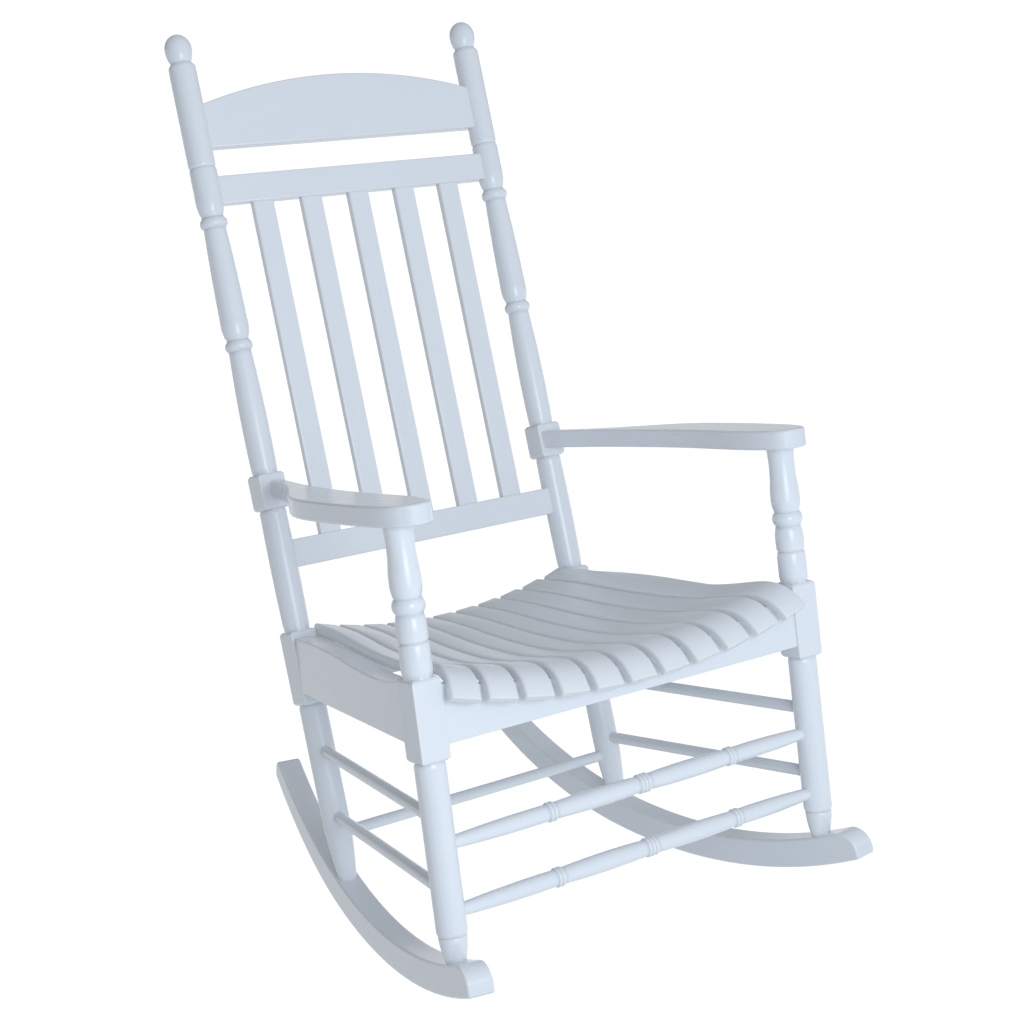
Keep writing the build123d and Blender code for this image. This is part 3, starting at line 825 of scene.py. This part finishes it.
@dataclass
class BackPosts:
    """The two tall back posts: ball finials, beads, long vases and two square blocks each."""

    stock: float = 38.0
    length: float = 1190.0
    foot_tenon: float = 20.0
    ball: float = 37.5
    ball_widest: float = 21.0
    ball_end: float = 40.5
    crease: float = 28.0
    finial_shoulder: float = 50.0
    top_groove: float = 188.0
    shoulder: float = 229.0
    bead_width: float = 14.5
    bead_crown: float = 38.6
    bead_neck: float = 31.0
    first_bead: float = 258.0
    second_bead: float = 430.5
    vase_widest: float = 400.0
    arm_block: Point = (617.5, 667.5)
    seat_block: Point = (838.0, 940.5)
    pad: float = 34.5
    foot: float = 23.0

    def finial(self, work: Turning) -> None:
        """Turns the egg-shaped ball at the tip, down to the crease under it."""
        steps = 14
        work.start(0.02, 1.2)
        for k in range(1, steps + 1):
            angle = math.pi / 2 * k / steps
            work.to(self.ball_widest * (1 - math.cos(angle)), self.ball * math.sin(angle))
        draw = (self.crease / self.ball) ** 2
        fall = (self.ball_end - self.ball_widest) / math.sqrt(1 - draw)
        for k in range(1, steps + 1):
            station = self.ball_widest + (self.ball_end - self.ball_widest) * k / steps
            drop = (station - self.ball_widest) / fall
            work.to(station, self.ball * math.sqrt(1 - drop * drop))

    def post(self) -> Turning:
        """Turns one post.

        Returns:
            The finished turning.
        """
        work = Turning()
        self.finial(work)
        work.to(self.finial_shoulder, self.stock - 0.5, 1.7)
        work.to(self.finial_shoulder + 6.0, self.stock, 0.2)
        work.groove(self.top_groove).to(self.shoulder, self.stock)
        work.to(251.0, 33.5, 0.9).to(self.first_bead, self.bead_neck, -0.8)
        work.bead(self.bead_width, self.bead_crown)
        work.to(self.vase_widest, self.stock, 0.7)
        work.to(423.5, 34.5, 1.0).to(self.second_bead, self.bead_neck, -0.8)
        work.bead(self.bead_width, self.bead_crown)
        for block, before, after in ((self.arm_block, self.stock - 2.0, self.stock - 1.0),
                                     (self.seat_block, self.stock - 1.5, self.stock)):
            start, end = block
            work.to(start - 8.0, before, 1.6 if block == self.arm_block else 0.8)
            work.to(start, self.pad, 0.4).block(end - start).to(end + 8.0, after, 0.8)
        work.to(1098.0, self.stock).to(self.length, self.foot, 1.8)
        work.to(self.length + 1.0, self.foot_tenon).to(self.length + 18.0, self.foot_tenon)
        return work

    def build(self, shop: PaintShop) -> None:
        """Turns and paints both posts."""
        for side in Side:
            placing = POST_AXIS.placing(side.value * POST_AXIS.half_spread)
            shop.hang(f"{side.word}_back_post", self.post().skin(placing), Finish.TURNING)


@dataclass
class FrontLegs:
    """The two front legs: a vase and a bead under the arm, a square block at the seat."""

    stock: float = 38.0
    length: float = 526.0
    foot_tenon: float = 20.0
    arm_tenon: float = 22.0
    waist: Point = (42.0, 36.0)
    vase: Point = (62.0, 38.5)
    neck: Point = (78.0, 34.5)
    bead_start: float = 81.0
    bead_neck: float = 33.0
    bead_width: float = 18.0
    bead_crown: float = 40.0
    swell: float = 120.0
    groove: float = 133.3
    block: Point = (175.5, 276.0)
    pad: float = 34.5
    low_groove: float = 488.3
    low_band: Point = (495.0, 34.8)
    foot: float = 23.0

    def leg(self) -> Turning:
        """Turns one leg.

        Returns:
            The finished turning.
        """
        start, end = self.block
        work = Turning()
        work.start(-20.0, self.arm_tenon).to(-6.0, self.arm_tenon).to(-6.0, self.stock - 1.0)
        work.to(self.waist[0], self.waist[1], -1.2).to(self.vase[0], self.vase[1], 0.5)
        work.to(self.neck[0], self.neck[1], 0.8).to(self.bead_start, self.bead_neck)
        work.bead(self.bead_width, self.bead_crown)
        work.to(self.swell, self.stock, 0.6).to(self.groove - 3.0, self.stock - 1.0)
        work.groove(self.groove).to(self.groove + 8.0, self.stock)
        work.to(start - 8.0, self.stock).to(start, self.pad, 0.4).block(end - start)
        band = self.low_band[1] + 0.4
        work.to(end + 8.0, self.stock, 0.8).to(self.low_groove - 7.0, self.stock)
        work.to(self.low_groove - 1.3, band + 0.4, 0.7).to(self.low_groove, band - 1.8, -0.1)
        work.to(self.low_groove + 1.3, band, 0.1).to(*self.low_band, 0.1)
        work.to(self.length, self.foot, 0.7).to(self.length + 1.0, self.foot_tenon)
        work.to(self.length + 18.0, self.foot_tenon)
        return work

    def build(self, shop: PaintShop) -> None:
        """Turns and paints both legs."""
        for side in Side:
            placing = LEG_AXIS.placing(side.value * LEG_AXIS.half_spread)
            shop.hang(f"{side.word}_front_leg", self.leg().skin(placing), Finish.TURNING)


@dataclass
class Rungs:
    """Seven rungs: two turned ones in front, plain dowels at the sides and the back."""

    dowel: float = 16.0
    tenon: float = 13.0
    stick_radius: float = 19.0
    turned_middle: float = 24.0
    ring_crown: float = 25.0
    ring_width: float = 5.5
    group_spread: float = 140.0
    group_shift: float = 8.0
    front: dict[str, float] = field(default_factory=lambda: {"upper": 379.6, "lower": 462.5})
    side: dict[str, Point] = field(
        default_factory=lambda: {"upper": (348.5, 1005.0), "lower": (436.8, 1097.5)})
    back: float = 1124.3

    def between(self, a: Vector, b: Vector) -> tuple[Matrix, float]:
        """Frames a rung that stands between two axes.

        Args:
            a: The point on the first axis, where the rung's station zero is.
            b: The point on the second axis.

        Returns:
            The rung's frame, its Z from b to a, and the rung's length with its tenons.
        """
        cut = self.stick_radius - self.tenon
        line = (a - b).normalized()
        start = a - line * cut
        length = (a - b).length - 2 * cut
        return Matrix.Translation(start) @ line.to_track_quat("Z", "Y").to_matrix().to_4x4(), length

    def plain(self, length: float) -> Turning:
        """A plain dowel, straight from end to end."""
        return Turning(sides=40).start(0.0, self.dowel).to(length / 2, self.dowel).to(
            length, self.dowel)

    def turned(self, length: float) -> Turning:
        """Turns a front rung: slim ends, a fuller middle and three groups of rings.

        Args:
            length: The rung's length with its tenons.

        Returns:
            The finished turning.
        """
        full = self.turned_middle - 3.0
        middle = length / 2 + self.group_shift
        groups = ((middle - self.group_spread, 2), (middle, 3), (middle + self.group_spread, 2))
        work = Turning(sides=48).start(0.0, self.dowel).to(self.tenon, self.dowel)
        rise = 1.2
        for centre, count in groups:
            work.to(centre - count * self.ring_width / 2, full, rise)
            for _ in range(count):
                work.bead(self.ring_width, self.ring_crown, steps=8)
            rise = 1.5
        work.to(length - self.tenon, self.dowel, 1.2)
        return work.to(length, self.dowel)

    def build(self, shop: PaintShop) -> None:
        """Makes and paints all seven rungs."""
        for level, station in self.front.items():
            ends = [LEG_AXIS.at(side, station) for side in Side]
            placing, length = self.between(*ends)
            shop.hang(f"front_rung_{level}", self.turned(length).skin(placing), Finish.TURNING)
        for side in Side:
            for level, (on_leg, on_post) in self.side.items():
                placing, length = self.between(LEG_AXIS.at(side, on_leg),
                                               POST_AXIS.at(side, on_post))
                shop.hang(f"{side.word}_rung_{level}", self.plain(length).skin(placing),
                          Finish.DOWEL)
        placing, length = self.between(*[POST_AXIS.at(side, self.back) for side in Side])
        shop.hang("back_rung", self.plain(length).skin(placing), Finish.DOWEL)


# ------------------------------------------------------------------ boards

@dataclass
class Ladder:
    """The back between its posts: arched crest, two rails and five upright slats."""

    reach: float = 223.5            # half the rails' length, tenons in the posts
    thickness: float = 20.0
    edge: float = 2.5
    crest_peak: float = 68.5
    crest_end: float = 103.0
    crest_bottom: float = 162.0
    rails: dict[str, Point] = field(
        default_factory=lambda: {"upper": (201.5, 241.0), "lower": (713.5, 752.5)})
    slats: int = 5
    pitch: float = 75.5
    slat_width: float = 32.0
    slat_thickness: float = 12.0
    slat_tenon: float = 12.0

    def upright(self, thickness: float, x: float = 0.0) -> Matrix:
        """The frame of a board that stands in the plane of the leaning back."""
        return POST_AXIS.placing(x) @ UPRIGHT @ shift(0, 0, -thickness / 2)

    def crest(self) -> Skin:
        """The crest: straight below, one long arch above."""
        reach = self.reach
        arch = arc_through((reach, -self.crest_end), (0, -self.crest_peak),
                           (-reach, -self.crest_end), 48)
        outline = [(-reach, -self.crest_bottom), (reach, -self.crest_bottom), *arch]
        return Skin(board_rings(outline, self.thickness, self.edge), Fibres.X,
                    self.upright(self.thickness))

    def rail(self, top: float, bottom: float) -> Skin:
        """A straight rail between two stations."""
        reach = self.reach
        outline = [(-reach, -bottom), (reach, -bottom), (reach, -top), (-reach, -top)]
        return Skin(board_rings(outline, self.thickness, self.edge), Fibres.X,
                    self.upright(self.thickness))

    def slat(self, x: float) -> Skin:
        """An upright slat at a distance from the middle, its ends in the two rails."""
        half = self.slat_width / 2
        top = self.rails["upper"][1] - self.slat_tenon
        bottom = self.rails["lower"][0] + self.slat_tenon
        outline = [(-half, -bottom), (half, -bottom), (half, -top), (-half, -top)]
        return Skin(board_rings(outline, self.slat_thickness, self.edge), Fibres.Y,
                    self.upright(self.slat_thickness, x))

    def build(self, shop: PaintShop) -> None:
        """Makes and paints the crest, the rails and the slats."""
        shop.hang("crest_rail", self.crest(), Finish.BOARD)
        for level, (top, bottom) in self.rails.items():
            shop.hang(f"{level}_back_rail", self.rail(top, bottom), Finish.BOARD)
        for i in range(self.slats):
            x = (i - (self.slats - 1) / 2) * self.pitch
            shop.hang(f"back_slat_{i + 1}", self.slat(x), Finish.BOARD)


@dataclass
class SeatSlats:
    """Eleven bent slats, fanned out to the front, that together make the dished seat."""

    count: int = 11
    thickness: float = 13.0
    gap_front: float = 9.0
    gap_back: float = 4.5
    front_y: float = -345.0
    back_y: float = 124.0
    pitch_front: float = 48.4
    pitch_back: float = 37.8
    nose_forward: float = 10.0
    dish_front: float = 38.5
    dish_back: float = 36.0
    dish_half_width: float = 250.0
    middle_y: float = -140.0
    crest_y: float = -308.0
    crest_z: float = 478.0
    back_z: float = 376.0
    upper_edge: float = 3.8
    lower_edge: float = 1.2
    nose_edge: float = 2.2
    # The upper face in side view at the sides of the seat, from the back to the nose.
    bend: tuple[Point, ...] = ((124, 376), (40, 395), (-50, 410), (-140, 428), (-215, 448.5),
                               (-273, 470), (-308, 478), (-335, 472), (-353, 458))

    def half_width(self, y: float) -> float:
        """Half a slat's width where it is y along the seat."""
        reach = 30.0
        half_front = (self.pitch_front - self.gap_front) / 2
        half_back = (self.pitch_back - self.gap_back) / 2
        share = (y - self.front_y + reach) / (self.back_y - self.front_y + 2 * reach)
        return half_front + (half_back - half_front) * share

    def section(self, half: float, inset: float) -> list[Point]:
        """A slat's section, as (across, depth below the upper face).

        Args:
            half: Half the slat's width there.
            inset: How far the whole section is drawn in, at the rounded ends.

        Returns:
            The points round the section, always the same number.
        """
        corners = ((1, 0.0, self.upper_edge), (1, self.thickness, self.lower_edge),
                   (-1, self.thickness, self.lower_edge), (-1, 0.0, self.upper_edge))
        points = []
        for index, (sign, depth, radius) in enumerate(corners):
            radius = max(radius - inset, 0.4)
            inward = 1 if depth == 0 else -1
            centre = (sign * (half - inset - radius), depth + inward * (inset + radius))
            start = 90 * (1 - index)
            for k in range(5):
                angle = math.radians(start - 90 * k / 4)
                points.append((centre[0] + radius * math.cos(angle),
                               centre[1] - radius * math.sin(angle)))
            if index in (0, 2):     # keeps the flat side of the slat flat in the shading
                points.append((points[-1][0], centre[1] + (2.0 if index == 0 else -2.0)))
        return points

    def path(self, dish: float) -> list[tuple[Point, Point]]:
        """The slat's upper face in side view, as points and the directions to its nose.

        Args:
            dish: How much of the seat's dish the slat has: none at the sides, all in the middle.

        Returns:
            Pairs of a point and a unit direction, from the back end to the nose.
        """
        points = []
        for y, z in smooth_through(list(self.bend), 61):
            run = (self.back_y - y) / (self.back_y - self.front_y)
            drop = dish * (self.dish_back + (self.dish_front - self.dish_back) * run)
            points.append(Vector((y - dish * self.nose_forward * run, z - drop)))
        made = []
        for i, point in enumerate(points):
            ahead = points[min(i + 1, len(points) - 1)]
            behind = points[max(i - 1, 0)]
            made.append((tuple(point), tuple((ahead - behind).normalized())))
        return made

    def rings(self, dish: float) -> list[Ring]:
        """The rings of a slat before it is fanned and rolled.

        Args:
            dish: How much of the seat's dish the slat has.

        Returns:
            The rings, from the back end to the nose, with both ends eased.
        """
        path = self.path(dish)
        radius = self.nose_edge
        ends = [(0.0, radius + 1.2), *eased(radius, 3)]
        stops = [(path[0], depth, inset) for depth, inset in ends]
        stops += [(stop, 0.0, 0.0) for stop in path[2:-2]]
        stops += [(path[-1], -depth, inset) for depth, inset in reversed(ends)]
        rings = []
        for ((y, z), (dy, dz)), along, inset in stops:
            half = self.half_width(y)
            ring = [Vector((across, y + dy * along - dz * depth, z + dz * along + dy * depth))
                    for across, depth in self.section(half, inset)]
            rings.append(ring)
        return rings

    def slat(self, index: int) -> Skin:
        """A finished slat.

        Args:
            index: The slat's place, from zero at the left.

        Returns:
            Its skin, rolled to the dish and fanned to the front.
        """
        order = index - (self.count - 1) / 2
        x_front, x_back = order * self.pitch_front, order * self.pitch_back
        x_mid = (x_front + x_back) / 2
        dish = 1 - (x_mid / self.dish_half_width) ** 2
        dish_mid = (self.dish_front + self.dish_back) / 2
        lean = math.atan(2 * dish_mid * x_mid / self.dish_half_width ** 2)
        fan = math.atan2(x_front - x_back, self.back_y - self.front_y)
        rise = (self.crest_z - self.back_z) / (self.back_y - self.crest_y)
        chord_z = self.back_z + rise * (self.back_y - self.middle_y) - dish * dish_mid
        roll = (shift(0, self.middle_y, chord_z)
                @ Matrix.Rotation(lean, 4, Vector((0, -1, rise)))
                @ shift(0, -self.middle_y, -chord_z))
        swing = (shift(0, self.middle_y, 0) @ Matrix.Rotation(fan, 4, "Z")
                 @ shift(0, -self.middle_y, 0))
        run_mid = (self.back_y - self.middle_y) / (self.back_y - self.front_y)
        x_pivot = x_back + (x_front - x_back) * run_mid
        return Skin(self.rings(dish), Fibres.Y, shift(x_pivot, 0, 0) @ swing @ roll)

    def build(self, shop: PaintShop) -> None:
        """Bends and paints all the slats."""
        for i in range(self.count):
            shop.hang(f"seat_slat_{i + 1:02d}", self.slat(i), Finish.SEAT)


@dataclass
class SeatFrame:
    """The four rails under the seat slats."""

    block_width: float = 39.0
    tenon: float = 13.0
    edge: float = 2.0
    thickness: float = 22.0
    front_face: float = 16.0
    front_top: float = 182.0
    front_hollow: float = 38.5
    front_bottom: float = 258.5
    back_top: float = 840.0
    back_hollow: float = 36.0
    back_bottom: float = 926.0
    back_ahead: float = 2.0
    side_thickness: float = 30.0
    side_top: tuple[Point, ...] = ((0.0, 465.0), (0.18, 436.0), (0.40, 413.5), (0.60, 400.0),
                                   (0.80, 384.0), (1.0, 364.0))
    side_bottom: Point = (383.5, 285.5)
    leg_station: float = 227.0
    post_station: float = 888.0

    def hollowed(self, reach: float, top: float, hollow: float, bottom: float) -> list[Ring]:
        """A cross rail, straight below and hollowed above to carry the dished slats.

        Args:
            reach: Half its length with tenons.
            top: Station of its upper edge at the ends.
            hollow: How much lower the middle of that edge is.
            bottom: Station of its lower edge.

        Returns:
            Its rings, drawn in the plane of the sticks that hold it.
        """
        edge = arc_through((reach, -top), (0, -top - hollow), (-reach, -top), 40)
        outline = [(-reach, -bottom), (reach, -bottom), *edge]
        return board_rings(outline, self.thickness, self.edge)

    def side_rail(self, side: Side) -> Skin:
        """A side rail: a thick board with a scooped upper edge, on the leg and post line."""
        front = LEG_AXIS.at(side, self.leg_station)
        back = POST_AXIS.at(side, self.post_station)
        swing = math.degrees(math.atan2(abs(front.x) - abs(back.x), back.y - front.y))
        y0 = front.y + self.block_width / 2 - self.tenon
        y1 = back.y - self.block_width / 2 + self.tenon
        top = smooth_through([(y0 + share * (y1 - y0), z) for share, z in self.side_top], 40)
        outline = [(y0, self.side_bottom[0]), (y1, self.side_bottom[1]), *reversed(top)]
        # The board's fibres follow its fall to the back, so it is drawn level and then tilted.
        tilt = math.atan2(self.side_bottom[1] - self.side_bottom[0], y1 - y0)
        level, fall = math.cos(tilt), math.sin(tilt)
        outline = [(y * level + z * fall, z * level - y * fall) for y, z in outline]
        placing = (shift(front.x, front.y, 0) @ turn(side.value * swing, "Z")
                   @ shift(0, -front.y, 0) @ ON_EDGE @ turn(math.degrees(tilt), "Z")
                   @ shift(0, 0, -self.side_thickness / 2))
        return Skin(board_rings(outline, self.side_thickness, self.edge), Fibres.X, placing)

    def build(self, shop: PaintShop) -> None:
        """Makes and paints the four rails."""
        front_reach = LEG_AXIS.half_spread - self.block_width / 2 + self.tenon
        rings = self.hollowed(front_reach, self.front_top, self.front_hollow, self.front_bottom)
        placing = (LEG_AXIS.placing() @ UPRIGHT
                   @ shift(0, 0, self.front_face - self.thickness))
        shop.hang("seat_front_rail", Skin(rings, Fibres.X, placing), Finish.BOARD)
        back_reach = POST_AXIS.half_spread - self.block_width / 2 + self.tenon
        rings = self.hollowed(back_reach, self.back_top, self.back_hollow, self.back_bottom)
        placing = (POST_AXIS.placing() @ UPRIGHT
                   @ shift(0, 0, self.back_ahead - self.thickness / 2))
        shop.hang("seat_back_rail", Skin(rings, Fibres.X, placing), Finish.BOARD)
        for side in Side:
            shop.hang(f"{side.word}_seat_rail", self.side_rail(side), Finish.BOARD)


@dataclass
class Arms:
    """The two arms: narrow where they enter the posts, wide and rounded over the legs."""

    thickness: float = 25.2
    rise: float = 5.3               # its underside above the datum of the leg
    slope: float = 12.85
    edge: float = 3.4
    post_station: float = 642.5
    into_block: float = 10.0
    # One side of the right arm's outline, then the other, round its front.
    outline: tuple[Point, ...] = ((241, 412), (256, 360), (278, 308), (299, 264), (314, 222),
                                  (321, 165), (322, 100), (319, 35), (312, -14), (299, -39),
                                  (283, -46), (264, -40), (252, -14), (247, 35), (249, 110),
                                  (249, 190), (244, 260), (236, 335), (225, 400))

    def arm(self, side: Side) -> Skin:
        """One arm.

        Args:
            side: The side of the chair that it is on.

        Returns:
            Its skin.
        """
        middle = POST_AXIS.at(side, self.post_station)
        v_back = (middle.y - LEG_AXIS.top_y) / math.cos(math.radians(self.slope))
        v_end = v_back - self.into_block
        ends = ((231.5, v_end), *self.outline, (211.5, v_end))
        curve = smooth_through(list(ends), 120)
        outline = [(side.value * x, v) for x, v in curve]
        placing = (shift(0, LEG_AXIS.top_y, LEG_AXIS.top_z) @ turn(-self.slope, "X")
                   @ shift(0, 0, self.rise))
        return Skin(board_rings(outline, self.thickness, self.edge), Fibres.Y, placing)

    def build(self, shop: PaintShop) -> None:
        """Saws and paints both arms."""
        for side in Side:
            shop.hang(f"{side.word}_arm", self.arm(side), Finish.BOARD)


@dataclass
class Rockers:
    """The two rockers: bent boards, toed in to the back, rounded over at both ends."""

    width: float = 34.0
    height: float = 39.0
    radius_front: float = 832.0     # of the lower face, ahead of its lowest point
    radius_back: float = 600.0
    radius_top_back: float = 635.0  # of the upper face: the runner thins to the back
    low_y: float = -17.0
    front_y: float = -460.0
    back_y: float = 276.0
    nose_lean: float = 14.0         # the end faces lean in by this much
    nose: float = 26.0
    heel_lean: float = 6.0
    heel: float = 11.0
    tip: float = 5.2                # wider than the eased edge and its support ring
    edge: float = 3.0
    leg_station: float = 526.0
    post_station: float = 1190.0

    def level(self, y: float, rise: float) -> float:
        """Height of the bend at y: rise is zero on the lower face, height on the upper one."""
        if y < self.low_y:
            radius = self.radius_front - rise
        else:
            radius = self.radius_top_back if rise else self.radius_back
        return rise + radius - math.sqrt(radius ** 2 - (y - self.low_y) ** 2)

    def side_view(self) -> list[Point]:
        """The rocker's outline in side view.

        Returns:
            The outline, as (y, z), with its four corners rounded.
        """
        steps = 60
        nose_top = self.front_y + self.nose_lean
        heel_top = self.back_y - self.heel_lean
        lower = [self.front_y + (self.back_y - self.front_y) * k / steps
                 for k in range(steps + 1)]
        upper = [heel_top + (nose_top - heel_top) * k / steps for k in range(steps + 1)]
        below = [(y, self.level(y, 0.0)) for y in lower]
        above = [(y, self.level(y, self.height)) for y in upper]
        runs = (below, [below[-1], above[0]], above, [above[-1], below[0]])
        radii = (self.tip, self.heel, self.nose, self.tip)
        return rounded_between(runs, radii)

    def rocker(self, side: Side) -> Skin:
        """One rocker, set on the line from the leg's foot to the post's."""
        front = LEG_AXIS.at(side, self.leg_station)
        back = POST_AXIS.at(side, self.post_station)
        swing = math.degrees(math.atan2(abs(front.x) - abs(back.x), back.y - front.y))
        placing = (shift(front.x, front.y, 0) @ turn(side.value * swing, "Z")
                   @ shift(0, -front.y, 0) @ ON_EDGE @ shift(0, 0, -self.width / 2))
        return Skin(board_rings(self.side_view(), self.width, self.edge), Fibres.X, placing)

    def build(self, shop: PaintShop) -> None:
        """Saws and paints both rockers."""
        for side in Side:
            shop.hang(f"{side.word}_rocker", self.rocker(side), Finish.RUNNER)


# ------------------------------------------------------------------ studio

@dataclass(frozen=True)
class SoftLamp:
    """A soft box: where it stands, its width and how bright it is."""

    name: str
    place: tuple[float, float, float]
    target: tuple[float, float, float]
    width: float
    watts: float
    colour: str

    def hang(self) -> None:
        """Adds the lamp, facing its target."""
        lamp = bpy.data.lights.new(self.name, "AREA")
        lamp.energy = self.watts
        lamp.size = self.width
        lamp.color = linear(self.colour)[:3]
        holder = bpy.data.objects.new(self.name, lamp)
        holder.location = self.place
        away = Vector(self.place) - Vector(self.target)
        holder.rotation_euler = away.to_track_quat("Z", "Y").to_euler()
        bpy.context.scene.collection.objects.link(holder)


@dataclass
class Studio:
    """A plain pale floor and a soft room that is brightest in front, as for a catalogue."""

    lamps: tuple[SoftLamp, ...] = (
        SoftLamp("front soft box", (-0.4, -2.0, 1.2), (0.1, -0.1, 0.45), 0.9, 15.0, "#E2EFFF"),
    )
    floor_reach: float = 60.0       # metres, so that its far edge lies above the view
    floor_film: str = "#7C7C7C"
    floor_glow: float = 0.93
    room_glow: float = 0.55
    room_lean: tuple[float, float, float] = (0.09, -0.26, -0.02)
    below: str = "#EAF4FF"
    above: str = "#F6F9FE"

    def floor(self) -> None:
        """Lays the floor: a wide disc of white paper that glows, and lights nothing else."""
        mesh = bpy.data.meshes.new("studio_floor")
        bm = bmesh.new()
        corners = 96
        rim = [bm.verts.new((self.floor_reach * math.cos(math.tau * k / corners),
                             self.floor_reach * math.sin(math.tau * k / corners), 0.0))
               for k in range(corners)]
        bm.faces.new(rim)
        bm.to_mesh(mesh)
        bm.free()
        material = bpy.data.materials.new("matt white paper, lit from below")
        material.use_nodes = True
        material.cycles.emission_sampling = "NONE"
        shader = material.node_tree.nodes["Principled BSDF"]
        shader.inputs["Base Color"].default_value = linear(self.floor_film)
        shader.inputs["Roughness"].default_value = 0.9
        shader.inputs["Specular IOR Level"].default_value = 0.1
        shader.inputs["Emission Color"].default_value = (1.0, 1.02, 1.05, 1.0)
        shader.inputs["Emission Strength"].default_value = self.floor_glow
        mesh.materials.append(material)
        floor = bpy.data.objects.new("studio_floor", mesh)
        floor.visible_diffuse = False
        bpy.context.scene.collection.objects.link(floor)

    def room(self) -> None:
        """Sets the light of the room: brightest ahead of the chair, dimmest behind it."""
        world = bpy.data.worlds.new("pale studio")
        world.use_nodes = True
        tree = world.node_tree
        back = tree.nodes["Background"]
        where = add_node(tree, "ShaderNodeTexCoord").outputs["Generated"]
        lean = add_node(tree, "ShaderNodeVectorMath", {0: where}, {1: self.room_lean},
                        operation="DOT_PRODUCT").outputs["Value"]
        glow = add_node(tree, "ShaderNodeMath", {0: lean}, {1: self.room_glow}, operation="ADD")
        tree.links.new(glow.outputs[0], back.inputs["Strength"])
        height = add_node(tree, "ShaderNodeSeparateXYZ", {0: where}).outputs["Z"]
        share = add_node(tree, "ShaderNodeMapRange", {"Value": height},
                         {"From Min": -0.5, "From Max": 0.8}).outputs["Result"]
        colour = add_node(tree, "ShaderNodeMix", {"Factor": share}, data_type="RGBA")
        colour.inputs[6].default_value = linear(self.below)
        colour.inputs[7].default_value = linear(self.above)
        tree.links.new(colour.outputs[2], back.inputs["Color"])
        bpy.context.scene.world = world

    def build(self) -> None:
        """Sets up the floor, the room and the lamps."""
        self.floor()
        self.room()
        for lamp in self.lamps:
            lamp.hang()
        bpy.context.scene.view_settings.view_transform = "Standard"


@dataclass
class Viewpoint:
    """The camera: level, standing ahead and to the left, looking a little down."""

    place: tuple[float, float, float] = (-1273.45, -2018.37, 1333.14)
    azimuth: float = 33.06
    pitch: float = 18.593
    lens: float = 65.039
    sensor: float = 36.0

    def build(self) -> None:
        """Makes the camera the scene's own."""
        camera = bpy.data.cameras.new("viewpoint")
        camera.lens = self.lens
        camera.sensor_width = self.sensor
        holder = bpy.data.objects.new("viewpoint", camera)
        holder.location = Vector(self.place) * MM
        holder.rotation_euler = (math.radians(90 - self.pitch), 0, -math.radians(self.azimuth))
        bpy.context.scene.collection.objects.link(holder)
        bpy.context.scene.camera = holder


def main() -> None:
    """Builds the chair from its feet up, then the studio round it."""
    logging.basicConfig(level=logging.INFO, format="%(name)s: %(message)s")
    shop = PaintShop()
    parts = (Rockers(), FrontLegs(), BackPosts(), Rungs(), SeatFrame(), SeatSlats(), Ladder(),
             Arms())
    for part in parts:
        part.build(shop)
        LOG.info("%s done", type(part).__name__)
    Viewpoint().build()
    Studio().build()


if __name__ == "__main__":
    main()
